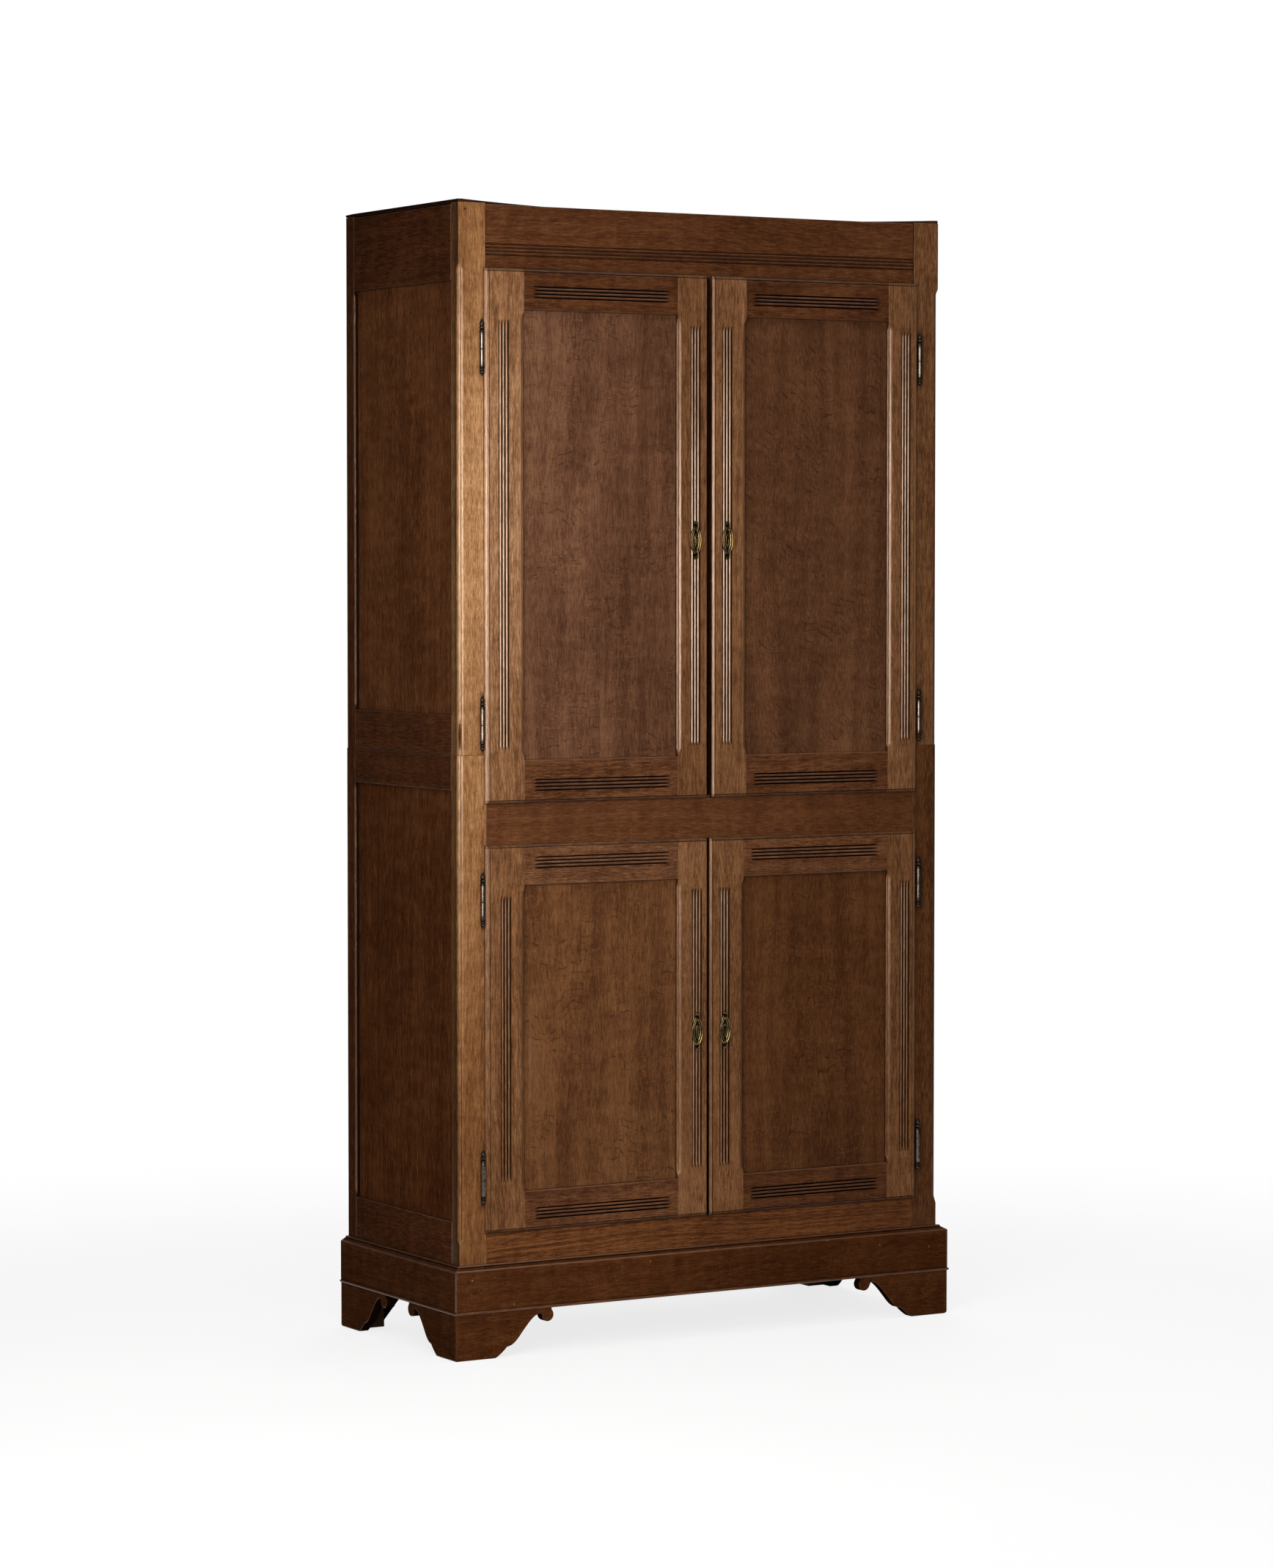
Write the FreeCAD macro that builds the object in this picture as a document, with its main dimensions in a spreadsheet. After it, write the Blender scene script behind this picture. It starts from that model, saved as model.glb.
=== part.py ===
"""Linen press in two stages: a panelled case on a case, four panelled doors, a plinth and bracket feet.

Millimetres. +X runs to the right along the front, +Y to the back and +Z up. The origin is on the
floor, under the middle of the press. Every driving dimension is a cell of the sheet "Sizes", and each
sub-part is an object of the document whose sizes are bound to those cells.
"""
import FreeCAD, Part
import os
import Sketcher

os.makedirs("parts", exist_ok=True)
doc = FreeCAD.newDocument("linen_press")
sheet = doc.addObject("Spreadsheet::Sheet", "Sizes")
LEFT, RIGHT = -1, 1


# ---------------------------------------------------------------- sizes

class Size:
    """A length: its value in mm and the expression over the sheet that gives it."""

    def __init__(self, value, text=None):
        self.value = float(value)
        self.text = repr(self.value) if text is None else text

    def join(self, other, sign, value):
        other = as_size(other)
        return Size(value(self.value, other.value), f"({self.text} {sign} {other.text})")

    def __add__(self, other):
        return self.join(other, "+", lambda a, b: a + b)

    def __sub__(self, other):
        return self.join(other, "-", lambda a, b: a - b)

    def __mul__(self, other):
        return self.join(other, "*", lambda a, b: a * b)

    def __truediv__(self, other):
        return self.join(other, "/", lambda a, b: a / b)

    def __neg__(self):
        return Size(0.0) - self

    __radd__ = __add__
    __rmul__ = __mul__

    def __rsub__(self, other):
        return as_size(other) - self


def as_size(number):
    return number if isinstance(number, Size) else Size(number)


class Cells:
    """Writes the driving dimensions into the sheet, one row each, with the alias beside its value."""

    def __init__(self):
        self.row = 0

    def add(self, alias, value):
        self.row += 1
        sheet.set(f"A{self.row}", alias)
        sheet.set(f"B{self.row}", str(value))
        sheet.setAlias(f"B{self.row}", alias)
        return Size(value, f"Sizes.{alias}")


cell = Cells().add

# case
case_width = cell("case_width", 996)
case_depth = cell("case_depth", 426)
post_top = cell("post_top", 2000)
seam_height = cell("seam_height", 1049)
upper_set_in = cell("upper_set_in", 1.2)
foot_height = cell("foot_height", 80)
post_face = cell("post_face", 54.4)
front_post_depth = cell("front_post_depth", 27.7)
rear_post_face = cell("rear_post_face", 42)
rear_post_depth = cell("rear_post_depth", 31)
rail_thickness = cell("rail_thickness", 22)
frieze_set_back = cell("frieze_set_back", 3)
frieze_drop = cell("frieze_drop", 2)
inner_rail_set_back = cell("inner_rail_set_back", 17)
inner_rail_thickness = cell("inner_rail_thickness", 20)
sill_height = cell("sill_height", 26)
tenon_length = cell("tenon_length", 20)
tenon_thickness = cell("tenon_thickness", 8)
tenon_shoulder = cell("tenon_shoulder", 8)

# sides
side_thickness = cell("side_thickness", 20)
side_panel_recess = cell("side_panel_recess", 8)
panel_thickness = cell("panel_thickness", 7)
groove_depth = cell("groove_depth", 9)
panel_slack = cell("panel_slack", 1.5)
upper_side_top_rail = cell("upper_side_top_rail", 131)
upper_side_bottom_rail = cell("upper_side_bottom_rail", 70)
lower_side_top_rail = cell("lower_side_top_rail", 61)
lower_side_bottom_rail = cell("lower_side_bottom_rail", 158)

# boards, shelves and back
board_thickness = cell("board_thickness", 18)
back_thickness = cell("back_thickness", 10)
back_board_gap = cell("back_board_gap", 0.6)
ceiling_drop = cell("ceiling_drop", 32)
top_board_thickness = cell("top_board_thickness", 5.5)
top_sweep = cell("top_sweep", 150)
top_sweep_offset = cell("top_sweep_offset", 150)
top_horn = cell("top_horn", 9)
shelf_set_back = cell("shelf_set_back", 30)
first_shelf = cell("first_shelf", 1290)
shelf_pitch = cell("shelf_pitch", 220)
lower_shelf_height = cell("lower_shelf_height", 560)
cleat_side = cell("cleat_side", 20)
dowel_radius = cell("dowel_radius", 6)
dowel_length = cell("dowel_length", 30)
dowel_inset = cell("dowel_inset", 90)

# corner moulding on the front posts
corner_front = cell("corner_front", 11)
corner_side = cell("corner_side", 9.6)
corner_quirk = cell("corner_quirk", 2)
corner_fillet = cell("corner_fillet", 2.4)
corner_round = cell("corner_round", 7)
corner_start = cell("corner_start", 206)
corner_end = cell("corner_end", 1891)

# plinth and feet
plinth_top = cell("plinth_top", 164)
plinth_projection = cell("plinth_projection", 15.4)
plinth_bead = cell("plinth_bead", 2.2)
plinth_bead_height = cell("plinth_bead_height", 4.8)
plinth_bevel_height = cell("plinth_bevel_height", 8.2)
plinth_bevel_flat = cell("plinth_bevel_flat", 2.6)
bracket_length = cell("bracket_length", 194)
side_bracket_length = cell("side_bracket_length", 180)
back_bracket_length = cell("back_bracket_length", 110)
bracket_thickness = cell("bracket_thickness", 18)
bracket_heel = cell("bracket_heel", 78)
bracket_cove = cell("bracket_cove", 18)
bracket_scroll = cell("bracket_scroll", 12)
block_side = cell("block_side", 40)
block_clearance = cell("block_clearance", 2)

# doors
lip_overlap = cell("lip_overlap", 5.2)
lip_thickness = cell("lip_thickness", 7.3)
lip_edge = cell("lip_edge", 2.5)
lip_gap = cell("lip_gap", 0.3)
lip_round_width = cell("lip_round_width", 8.6)
lip_round_radius = cell("lip_round_radius", 8)
lip_quirk = cell("lip_quirk", 0.6)
door_thickness = cell("door_thickness", 22)
door_clearance = cell("door_clearance", 1.2)
upper_door_bottom = cell("upper_door_bottom", 964.4)
upper_door_top = cell("upper_door_top", 1889.3)
lower_door_bottom = cell("lower_door_bottom", 216.9)
lower_door_top = cell("lower_door_top", 893)
upper_left_meeting = cell("upper_left_meeting", -0.1)
upper_right_meeting = cell("upper_right_meeting", 8.4)
lower_left_meeting = cell("lower_left_meeting", 0.4)
lower_right_meeting = cell("lower_right_meeting", 3.7)
left_hinge_stile = cell("left_hinge_stile", 77)
left_meeting_stile = cell("left_meeting_stile", 61.4)
right_meeting_stile = cell("right_meeting_stile", 72.4)
right_hinge_stile = cell("right_hinge_stile", 64.4)
upper_top_rail = cell("upper_top_rail", 71.3)
upper_bottom_rail = cell("upper_bottom_rail", 75.6)
lower_top_rail = cell("lower_top_rail", 72)
lower_bottom_rail = cell("lower_bottom_rail", 70.6)
door_panel_recess = cell("door_panel_recess", 8)
moulding_width = cell("moulding_width", 7.6)
moulding_depth = cell("moulding_depth", 4)
moulding_fillet = cell("moulding_fillet", 2)
moulding_radius = cell("moulding_radius", 6.2)
moulding_stop = cell("moulding_stop", 15)
reed_pitch = cell("reed_pitch", 6.2)
reed_depth = cell("reed_depth", 2.4)
reed_half_width = cell("reed_half_width", 1.7)
stile_reed_stop = cell("stile_reed_stop", 17)
rail_reed_stop = cell("rail_reed_stop", 19)
frieze_reed_height = cell("frieze_reed_height", 79)
reed_offsets = {}
for door_name, offsets in (("upper_left_door", (36.8, 24.9, 39.9, 31.1)),
                           ("upper_right_door", (32.6, 26.4, 39.9, 31.1)),
                           ("lower_left_door", (39.8, 21.8, 32.6, 29.4)),
                           ("lower_right_door", (32.8, 26.4, 32.6, 33.5))):
    for member, offset in zip(("left_stile", "right_stile", "top_rail", "bottom_rail"), offsets):
        reed_offsets[door_name, member] = cell(f"{door_name}_{member}_reeds", offset)

# hinges, locks and bolts
hinge_offset = cell("hinge_offset", 5)
hinge_stand_off = cell("hinge_stand_off", 5)
knuckle_radius = cell("knuckle_radius", 4.4)
finial_ring = cell("finial_ring", 0.25)
knuckle_length = cell("knuckle_length", 29.5)
upper_finial = cell("upper_finial", 23)
lower_finial = cell("lower_finial", 16)
pin_radius = cell("pin_radius", 2.4)
pin_reach = cell("pin_reach", 24)
running_fit = cell("running_fit", 0.05)
knuckle_gap = cell("knuckle_gap", 0.3)
leaf_thickness = cell("leaf_thickness", 1.6)
leaf_reach = cell("leaf_reach", 16)
upper_high_hinge = cell("upper_high_hinge", 1748.5)
upper_low_hinge = cell("upper_low_hinge", 1100.5)
lower_high_hinge = cell("lower_high_hinge", 794.5)
lower_low_hinge = cell("lower_low_hinge", 312.5)
plate_height = cell("plate_height", 61)
plate_width = cell("plate_width", 22)
plate_thickness = cell("plate_thickness", 1.4)
plate_rim = cell("plate_rim", 1.4)
plate_tab_radius = cell("plate_tab_radius", 4)
keyhole_radius = cell("keyhole_radius", 2.6)
keyhole_slot = cell("keyhole_slot", 3)
keyhole_height = cell("keyhole_height", 15)
upper_lock_height = cell("upper_lock_height", 1421.6)
lower_lock_height = cell("lower_lock_height", 548.6)
lock_width = cell("lock_width", 56)
lock_case_height = cell("lock_case_height", 64)
lock_thickness = cell("lock_thickness", 12)
lock_bolt_length = cell("lock_bolt_length", 44)
lock_bolt_height = cell("lock_bolt_height", 16)
lock_bolt_thickness = cell("lock_bolt_thickness", 6)
lock_bolt_stand_off = cell("lock_bolt_stand_off", 1.5)
door_bolt_radius = cell("door_bolt_radius", 3.5)
door_bolt_inset = cell("door_bolt_inset", 14)
door_bolt_depth = cell("door_bolt_depth", 9)
door_bolt_length = cell("door_bolt_length", 70)
long_door_bolt_length = cell("long_door_bolt_length", 150)
door_bolt_tip = cell("door_bolt_tip", 1.5)
door_bolt_throw = cell("door_bolt_throw", 10)
thumb_radius = cell("thumb_radius", 2.5)
thumb_reach = cell("thumb_reach", 10)
thumb_play = cell("thumb_play", 0.3)

half = case_width / 2
upper_half = half - upper_set_in
front = -(case_depth - plinth_projection - plinth_bead) / 2
back = front + case_depth
door_face = front - lip_thickness
door_back = door_face + door_thickness
opening_side = half - post_face
lip_back = lip_thickness - lip_gap
frieze_bottom = upper_door_top - lip_overlap
middle_rail_top = upper_door_bottom + lip_overlap
middle_rail_bottom = lower_door_top - lip_overlap
bottom_rail_top = lower_door_bottom + lip_overlap
body_inset = lip_overlap + door_clearance


# ---------------------------------------------------------------- building blocks

def bind(thing, **sizes):
    """Bind each property to its size's expression; a double underscore in a name stands for a dot."""
    for name, size in sizes.items():
        thing.setExpression(name.replace("__", "."), as_size(size).text)


def place(thing, x, y, z):
    bind(thing, Placement__Base__x=x, Placement__Base__y=y, Placement__Base__z=z)


def box(x, y, z, turn=0.0):
    """A box over three ranges; turn, in degrees, swings it about the upright through its corner."""
    block = doc.addObject("Part::Box", "Block")
    block.Placement.Rotation = FreeCAD.Rotation(FreeCAD.Vector(0, 0, 1), turn)
    place(block, x[0], y[0], z[0])
    bind(block, Length=x[1] - x[0], Width=y[1] - y[0], Height=z[1] - z[0])
    return block


def across(side, near, far):
    """The x range between two distances from the middle plane, on the left or the right."""
    near, far = as_size(near), as_size(far)
    return (near, far) if side == RIGHT else (-far, -near)


def round_bar(x, y, z, radius, length, axis="z"):
    """A cylinder from a point, along the upright or towards the back."""
    bar = doc.addObject("Part::Cylinder", "Bar")
    if axis == "y":
        bar.Placement.Rotation = FreeCAD.Rotation(FreeCAD.Vector(1, 0, 0), -90)
    place(bar, x, y, z)
    bind(bar, Radius=radius, Height=length)
    return bar


def joined(pieces, label="Joined"):
    fuse = doc.addObject("Part::MultiFuse", "Joined")
    fuse.Shapes = pieces
    fuse.Refine = True
    fuse.Label = label
    return fuse


def carved(base, tools, label="Carved"):
    """The base with every tool cut out of it."""
    tool = doc.addObject("Part::Compound", "Tools")
    tool.Links = tools
    cut = doc.addObject("Part::Cut", "Carved")
    cut.Base = base
    cut.Tool = tool
    cut.Label = label
    return cut


def group(label, pieces):
    """One node of separate solids."""
    node = doc.addObject("Part::Compound", "Group")
    node.Links = pieces
    node.Label = label
    return node


def new_body(label, x, y, z, turn_about_y=0.0):
    body = doc.addObject("PartDesign::Body", "Body")
    body.Label = label
    body.Placement.Rotation = FreeCAD.Rotation(FreeCAD.Vector(0, 1, 0), turn_about_y)
    place(body, x, y, z)
    return body


def sketch_on(body, role, offset=0.0):
    """A sketch on one of the body's own origin planes, moved along the plane's normal."""
    plane = [item for item in body.Origin.OriginFeatures if item.Role == role][0]
    sketch = body.newObject("Sketcher::SketchObject", "Sketch")
    sketch.AttachmentSupport = [(plane, "")]
    sketch.MapMode = "FlatFace"
    bind(sketch, AttachmentOffset__Base__z=offset)
    return sketch


def arc_between(start, end, radius):
    """An arc through two points; it bulges to the right of the way from start to end if radius > 0."""
    chord = end - start
    middle = (start + end) * 0.5
    normal = FreeCAD.Vector(chord.y, -chord.x, 0).normalize()
    rise = abs(radius) - (radius * radius - chord.Length ** 2 / 4) ** 0.5
    return Part.Arc(start, middle + normal * (rise if radius > 0 else -rise), end)


def outline(sketch, points, arcs=None):
    """A closed outline through points; arcs gives the signed radius of a round side by its number."""
    arcs = arcs or {}
    points = [(as_size(x), as_size(y)) for x, y in points]
    corners = [FreeCAD.Vector(x.value, y.value, 0) for x, y in points]
    count = len(corners)
    sides = []
    for i, start in enumerate(corners):
        end = corners[(i + 1) % count]
        if i in arcs:
            curve = arc_between(start, end, as_size(arcs[i]).value)
        else:
            curve = Part.LineSegment(start, end)
        sides.append(sketch.addGeometry(curve, False))
    first = [1 if sketch.getPoint(side, 1).distanceToPoint(start) < 1e-6 else 2
             for side, start in zip(sides, corners)]
    for i, side in enumerate(sides):
        j = (i + 1) % count
        sketch.addConstraint(Sketcher.Constraint("Coincident", side, 3 - first[i], sides[j], first[j]))
    for i, (x, y) in enumerate(points):
        for kind, size in (("DistanceX", x), ("DistanceY", y)):
            made = sketch.addConstraint(Sketcher.Constraint(kind, -1, 1, sides[i], first[i], size.value))
            sketch.setExpression(f"Constraints[{made}]", size.text)
    for i, radius in arcs.items():
        size = as_size(radius)
        made = sketch.addConstraint(Sketcher.Constraint("Radius", sides[i], abs(size.value)))
        sketch.setExpression(f"Constraints[{made}]", size.text if size.value > 0 else (-size).text)


def rectangle(sketch, x, y):
    outline(sketch, [(x[0], y[0]), (x[1], y[0]), (x[1], y[1]), (x[0], y[1])])


def pad(body, sketch, length, reverse=False):
    feature = body.newObject("PartDesign::Pad", "Pad")
    feature.Profile = sketch
    feature.Reversed = reverse
    bind(feature, Length=length)
    return feature


def pocket(body, sketch, length=None, reverse=False):
    """Cut the sketch's outlines; without a length the cut goes right through, both ways."""
    feature = body.newObject("PartDesign::Pocket", "Pocket")
    feature.Profile = sketch
    feature.Reversed = reverse
    if length is None:
        feature.Type = "ThroughAll"
        feature.SideType = "Symmetric"
    else:
        bind(feature, Length=length)
    return feature


# ---------------------------------------------------------------- mouldings

def reed_grooves(sketch, middle, face=0.0):
    """Four V grooves side by side, with three reeds between them, sunk from the line y = face."""
    for step in (-1.5, -0.5, 0.5, 1.5):
        axis = middle + reed_pitch * step
        outline(sketch, [(axis - reed_half_width, face), (axis + reed_half_width, face),
                         (axis, reed_depth + face)])


def corner_cut(sketch, side, outer):
    """The quirked round taken off a front post's outer corner."""
    def point(inwards, backwards):
        return (side * (outer - inwards), as_size(backwards))
    points = [point(0, 0), point(corner_front, 0), point(corner_front - corner_fillet, corner_quirk),
              point(corner_quirk, corner_side - corner_fillet + 0.6), point(0, corner_side)]
    outline(sketch, points, {2: corner_round * side})


# ---------------------------------------------------------------- posts

def front_post(label, side, outer, bottom, top, cut_from, cut_to):
    """A front post: a plain section with a stopped moulding run along its outer corner."""
    body = new_body(label + "_blank", 0, front, bottom)
    section = sketch_on(body, "XY_Plane")
    inner = opening_side * side
    rectangle(section, (outer * side, inner), (0, front_post_depth))
    pad(body, section, top - bottom)
    cut = sketch_on(body, "XY_Plane", cut_to - bottom)
    corner_cut(cut, side, outer)
    pocket(body, cut, cut_to - cut_from)
    return body


def panel_range(outer):
    """How far from the middle plane a side panel's two faces lie."""
    return outer - side_panel_recess - panel_thickness, outer - side_panel_recess


def post_groove(side, outer, y, z):
    near, far = panel_range(outer)
    return box(across(side, near, far), y, z)


def tenon_y(face, thickness):
    """A tenon's y range, in the middle of a rail whose face and thickness are given."""
    middle = face + thickness / 2
    return middle - tenon_thickness / 2, middle + tenon_thickness / 2


def front_rail(label, face, thickness, z, tenon=None):
    """A rail between the front posts, with a tenon at each end; returns its pieces, not yet joined."""
    tenon = tenon or tenon_y(face, thickness)
    pieces = [box((-opening_side, opening_side), (face, face + thickness), z)]
    for side in (LEFT, RIGHT):
        pieces.append(rail_tenon(side, tenon, z))
    return joined(pieces, label)


def rail_tenon(side, y, z):
    """A front rail's tenon, which is also the shape of its mortise."""
    return box(across(side, opening_side, opening_side + tenon_length), y,
               (z[0] + tenon_shoulder, z[1] - tenon_shoulder))


# ---------------------------------------------------------------- hinges

def hinge_axis(side):
    """The door hinge's upright axis: beside the lip's edge and just off the post's face."""
    return side * (opening_side + lip_overlap + hinge_offset), front - hinge_stand_off


def turned(label, x, y, z, profile):
    """A body turned about its upright axis from a half profile of radius and height."""
    body = new_body(label, x, y, z)
    sketch = sketch_on(body, "XZ_Plane")
    outline(sketch, profile)
    feature = body.newObject("PartDesign::Revolution", "Turning")
    feature.Profile = sketch
    feature.ReferenceAxis = (sketch, ["V_Axis"])
    feature.Angle = 360.0
    return body


def finial(base, height, point):
    """Half profile of a turned finial: two rings, a neck, a bead and a blunt point."""
    ring = knuckle_radius + finial_ring
    neck = knuckle_radius * 0.72
    bead = knuckle_radius * 0.92
    steps = [(ring, 0.02), (ring, 0.10), (neck, 0.14), (neck, 0.22), (ring, 0.26), (ring, 0.36),
             (neck, 0.42), (bead, 0.54), (bead, 0.68), (neck * 0.6, 0.9), (0.8, 1.0)]
    return [(as_size(radius), base + height * (point * part)) for radius, part in steps]


def door_knuckle(side, z, label):
    """The door's half of a hinge: upper knuckle, bored for the pin, its finial and its leaf."""
    x, y = hinge_axis(side)
    bore = pin_radius + running_fit
    roof = pin_reach + 1
    profile = [(bore, knuckle_gap), (knuckle_radius, knuckle_gap), (knuckle_radius, knuckle_length)]
    profile += finial(knuckle_length, upper_finial, 1.0)
    profile += [(0, knuckle_length + upper_finial), (0, roof), (bore, roof)]
    barrel = turned(label + "_barrel", x, y, z, profile)
    return joined([barrel, door_leaf(side, z, side * x - 0.5)])


def door_leaf(side, z, end):
    """The leaf let into the back of the lip; it is also the shape of its slot."""
    y = front - lip_gap
    return box(across(side, opening_side + lip_overlap - leaf_reach, end), (y - leaf_thickness, y),
               (z + 2, z + knuckle_length - 1))


def case_knuckle(side, z, label):
    """The case's half of a hinge: lower knuckle with the pin riveted in, its finial and its leaf."""
    x, y = hinge_axis(side)
    profile = [(0, pin_reach), (pin_radius, pin_reach), (pin_radius, 0), (knuckle_radius, 0),
               (knuckle_radius, -knuckle_length)]
    profile += finial(-knuckle_length, lower_finial, -1.0)
    profile += [(0, -knuckle_length - lower_finial)]
    barrel = turned(label + "_barrel", x, y, z, profile)
    leaf = case_leaf(side, z)
    return joined([barrel, leaf])


def case_leaf(side, z):
    """The leaf let into the post; it is also the shape of its slot."""
    x, y = hinge_axis(side)
    return box((x - leaf_thickness / 2, x + leaf_thickness / 2), (y + knuckle_radius - 0.6, front + leaf_reach),
               (z - knuckle_length + 1, z - 1))


# ---------------------------------------------------------------- upper and lower case

upper_hinges = (upper_low_hinge, upper_high_hinge)
lower_hinges = (lower_low_hinge, lower_high_hinge)
rear_post_y = (back - rear_post_depth, back)
front_post_y = (front, front + front_post_depth)
inner_tenon_y = (front + inner_rail_set_back + 1, front + inner_rail_set_back + 1 + tenon_thickness)
frieze_z = (frieze_bottom, post_top - frieze_drop)
sill_z = (seam_height, seam_height + sill_height)
stop_z = (middle_rail_top, seam_height)
middle_z = (middle_rail_bottom, middle_rail_top)
bottom_z = (foot_height, bottom_rail_top)
upper_side_top_z = (post_top - frieze_drop - upper_side_top_rail, post_top - frieze_drop)
upper_side_bottom_z = (seam_height, seam_height + upper_side_bottom_rail)
lower_side_top_z = (seam_height - lower_side_top_rail, seam_height)
lower_side_bottom_z = (foot_height, foot_height + lower_side_bottom_rail)
frieze_face = front + frieze_set_back
inner_face = front + inner_rail_set_back


def front_posts(stage, outer, bottom, top, cut_from, cut_to, mortises, hinges, groove_z):
    """The left and right front posts of one case, with mortises, hinge slots and the panel groove."""
    posts = []
    for side, name in ((LEFT, "left"), (RIGHT, "right")):
        label = f"{stage}_{name}_front_post"
        blank = front_post(label, side, outer, bottom, top, cut_from, cut_to)
        tools = [rail_tenon(side, y, z) for y, z in mortises]
        tools += [case_leaf(side, z) for z in hinges]
        groove_y = (front_post_y[1] - groove_depth, front_post_y[1])
        tools.append(post_groove(side, outer, groove_y, groove_z))
        posts.append(carved(blank, tools, label))
    return posts


def rear_posts(stage, outer, z, groove_z):
    pieces = []
    for side in (LEFT, RIGHT):
        blank = box(across(side, outer - rear_post_face, outer), rear_post_y, z)
        groove_y = (rear_post_y[0], rear_post_y[0] + groove_depth)
        pieces.append(carved(blank, [post_groove(side, outer, groove_y, groove_z)]))
    return group(f"{stage}_rear_posts", pieces)


def side_rail(side, outer, z, groove_z, dowel_z):
    """A side rail with a tongue at each end, a groove for the panel and two dowel holes."""
    near, far = panel_range(outer)
    run = (front_post_y[1], rear_post_y[0])
    rail = box(across(side, outer - side_thickness, outer), run, z)
    tongue = box(across(side, near, far), (run[0] - groove_depth, run[1] + groove_depth), z)
    tools = [box(across(side, near, far), (run[0] - groove_depth, run[1] + groove_depth), groove_z)]
    if dowel_z is not None:
        tools += dowels(side, dowel_z)
    return carved(joined([rail, tongue]), tools)


def dowels(side, bottom):
    places = (front + dowel_inset, back - dowel_inset)
    return [round_bar(side * (half - side_thickness / 2), y, bottom, dowel_radius, dowel_length / 2)
            for y in places]


def side_rails(stage, outer, top_z, bottom_z_range, top_dowels=None, bottom_dowels=None):
    pieces = []
    for side in (LEFT, RIGHT):
        pieces.append(side_rail(side, outer, top_z, (top_z[0], top_z[0] + groove_depth), top_dowels))
        pieces.append(side_rail(side, outer, bottom_z_range,
                                (bottom_z_range[1] - groove_depth, bottom_z_range[1]), bottom_dowels))
    return group(f"{stage}_side_rails", pieces)


def side_panels(stage, outer, top_z, bottom_z_range):
    near, far = panel_range(outer)
    reach = groove_depth - panel_slack
    y = (front_post_y[1] - reach, rear_post_y[0] + reach)
    z = (bottom_z_range[1] - reach, top_z[0] + reach)
    return group(f"{stage}_side_panels", [box(across(side, near, far), y, z) for side in (LEFT, RIGHT)])


def back_boards(stage, z):
    """Five upright boards between the rear posts."""
    inner = upper_half - rear_post_face
    width = inner * 2 / 5
    boards = []
    for number in range(5):
        start = width * number - inner
        boards.append(box((start + back_board_gap / 2, start + width - back_board_gap / 2),
                          (back - back_thickness, back), z))
    return group(f"{stage}_back_boards", boards)


def fitted_board(label, outer, front_edge, z):
    """A level board from a front edge to the back boards, notched round the posts."""
    inside = outer - side_thickness
    board = box((-inside, inside), (front_edge, back - back_thickness), z)
    notches = []
    for side in (LEFT, RIGHT):
        notches.append(box(across(side, opening_side, outer), front_post_y, z))
        notches.append(box(across(side, outer - rear_post_face, outer), rear_post_y, z))
    return carved(board, notches, label)


def frieze():
    """The top front rail, with reeds run its whole length."""
    body = new_body("frieze_blank", -opening_side, frieze_face, frieze_z[0])
    section = sketch_on(body, "YZ_Plane")
    rectangle(section, (0, rail_thickness), (0, frieze_z[1] - frieze_z[0]))
    pad(body, section, opening_side * 2)
    reeds = sketch_on(body, "YZ_Plane")
    for step in (-1.5, -0.5, 0.5, 1.5):
        axis = post_top - frieze_reed_height + reed_pitch * step - frieze_z[0]
        outline(reeds, [(0, axis - reed_half_width), (reed_depth, axis), (0, axis + reed_half_width)])
    pocket(body, reeds)
    tenons = [rail_tenon(side, tenon_y(frieze_face, rail_thickness), frieze_z) for side in (LEFT, RIGHT)]
    holes = [keeper_hole(upper_left_meeting, frieze_z[0], 1)]
    return carved(joined([body] + tenons), holes, "frieze_rail")


def keeper_hole(meeting, z, way):
    """The hole in a rail's edge that a left door's bolt shoots into, upwards or downwards."""
    depth = door_bolt_throw + 3
    return round_bar(meeting - door_bolt_inset, front + door_bolt_depth, z if way > 0 else z - depth,
                     door_bolt_radius + 0.4, depth)


def top_board():
    """The thin top, whose front edge sweeps back between two horns at the posts."""
    body = new_body("top_board", 0, front, post_top)
    sketch = sketch_on(body, "XY_Plane")
    left_run = upper_half - top_horn + top_sweep_offset
    right_run = upper_half - top_horn - top_sweep_offset
    square = top_sweep * top_sweep
    left_radius = (left_run * left_run + square) / (top_sweep * 2)
    right_radius = (right_run * right_run + square) / (top_sweep * 2)
    points = [(-upper_half, 0), (top_horn - upper_half, 0), (top_sweep_offset, top_sweep),
              (upper_half - top_horn, 0), (upper_half, 0), (upper_half, case_depth), (-upper_half, case_depth)]
    outline(sketch, points, {1: -left_radius, 2: -right_radius})
    pad(body, sketch, top_board_thickness)
    return body


upper_groove_z = (upper_side_bottom_z[0], upper_side_top_z[1])
lower_groove_z = (lower_side_bottom_z[0], lower_side_top_z[1])
inner_rail_y = (inner_face, inner_face + inner_rail_thickness)
nodes = []
nodes += front_posts("upper", upper_half, seam_height, post_top, seam_height, corner_end,
                     [(tenon_y(frieze_face, rail_thickness), frieze_z), (inner_tenon_y, sill_z)],
                     upper_hinges, upper_groove_z)
nodes += front_posts("lower", half, foot_height, seam_height, corner_start, seam_height,
                     [(inner_tenon_y, stop_z), (tenon_y(front, rail_thickness), middle_z),
                      (tenon_y(front, rail_thickness), bottom_z)],
                     lower_hinges, lower_groove_z)
nodes.append(rear_posts("upper", upper_half, (seam_height, post_top), upper_groove_z))
nodes.append(rear_posts("lower", half, (foot_height, seam_height), lower_groove_z))
nodes.append(frieze())
nodes.append(front_rail("upper_sill_rail", inner_face, inner_rail_thickness, sill_z, inner_tenon_y))
nodes.append(front_rail("stop_rail", inner_face, inner_rail_thickness, stop_z, inner_tenon_y))
middle_rail = front_rail("middle_rail_blank", front, rail_thickness, middle_z)
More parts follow.
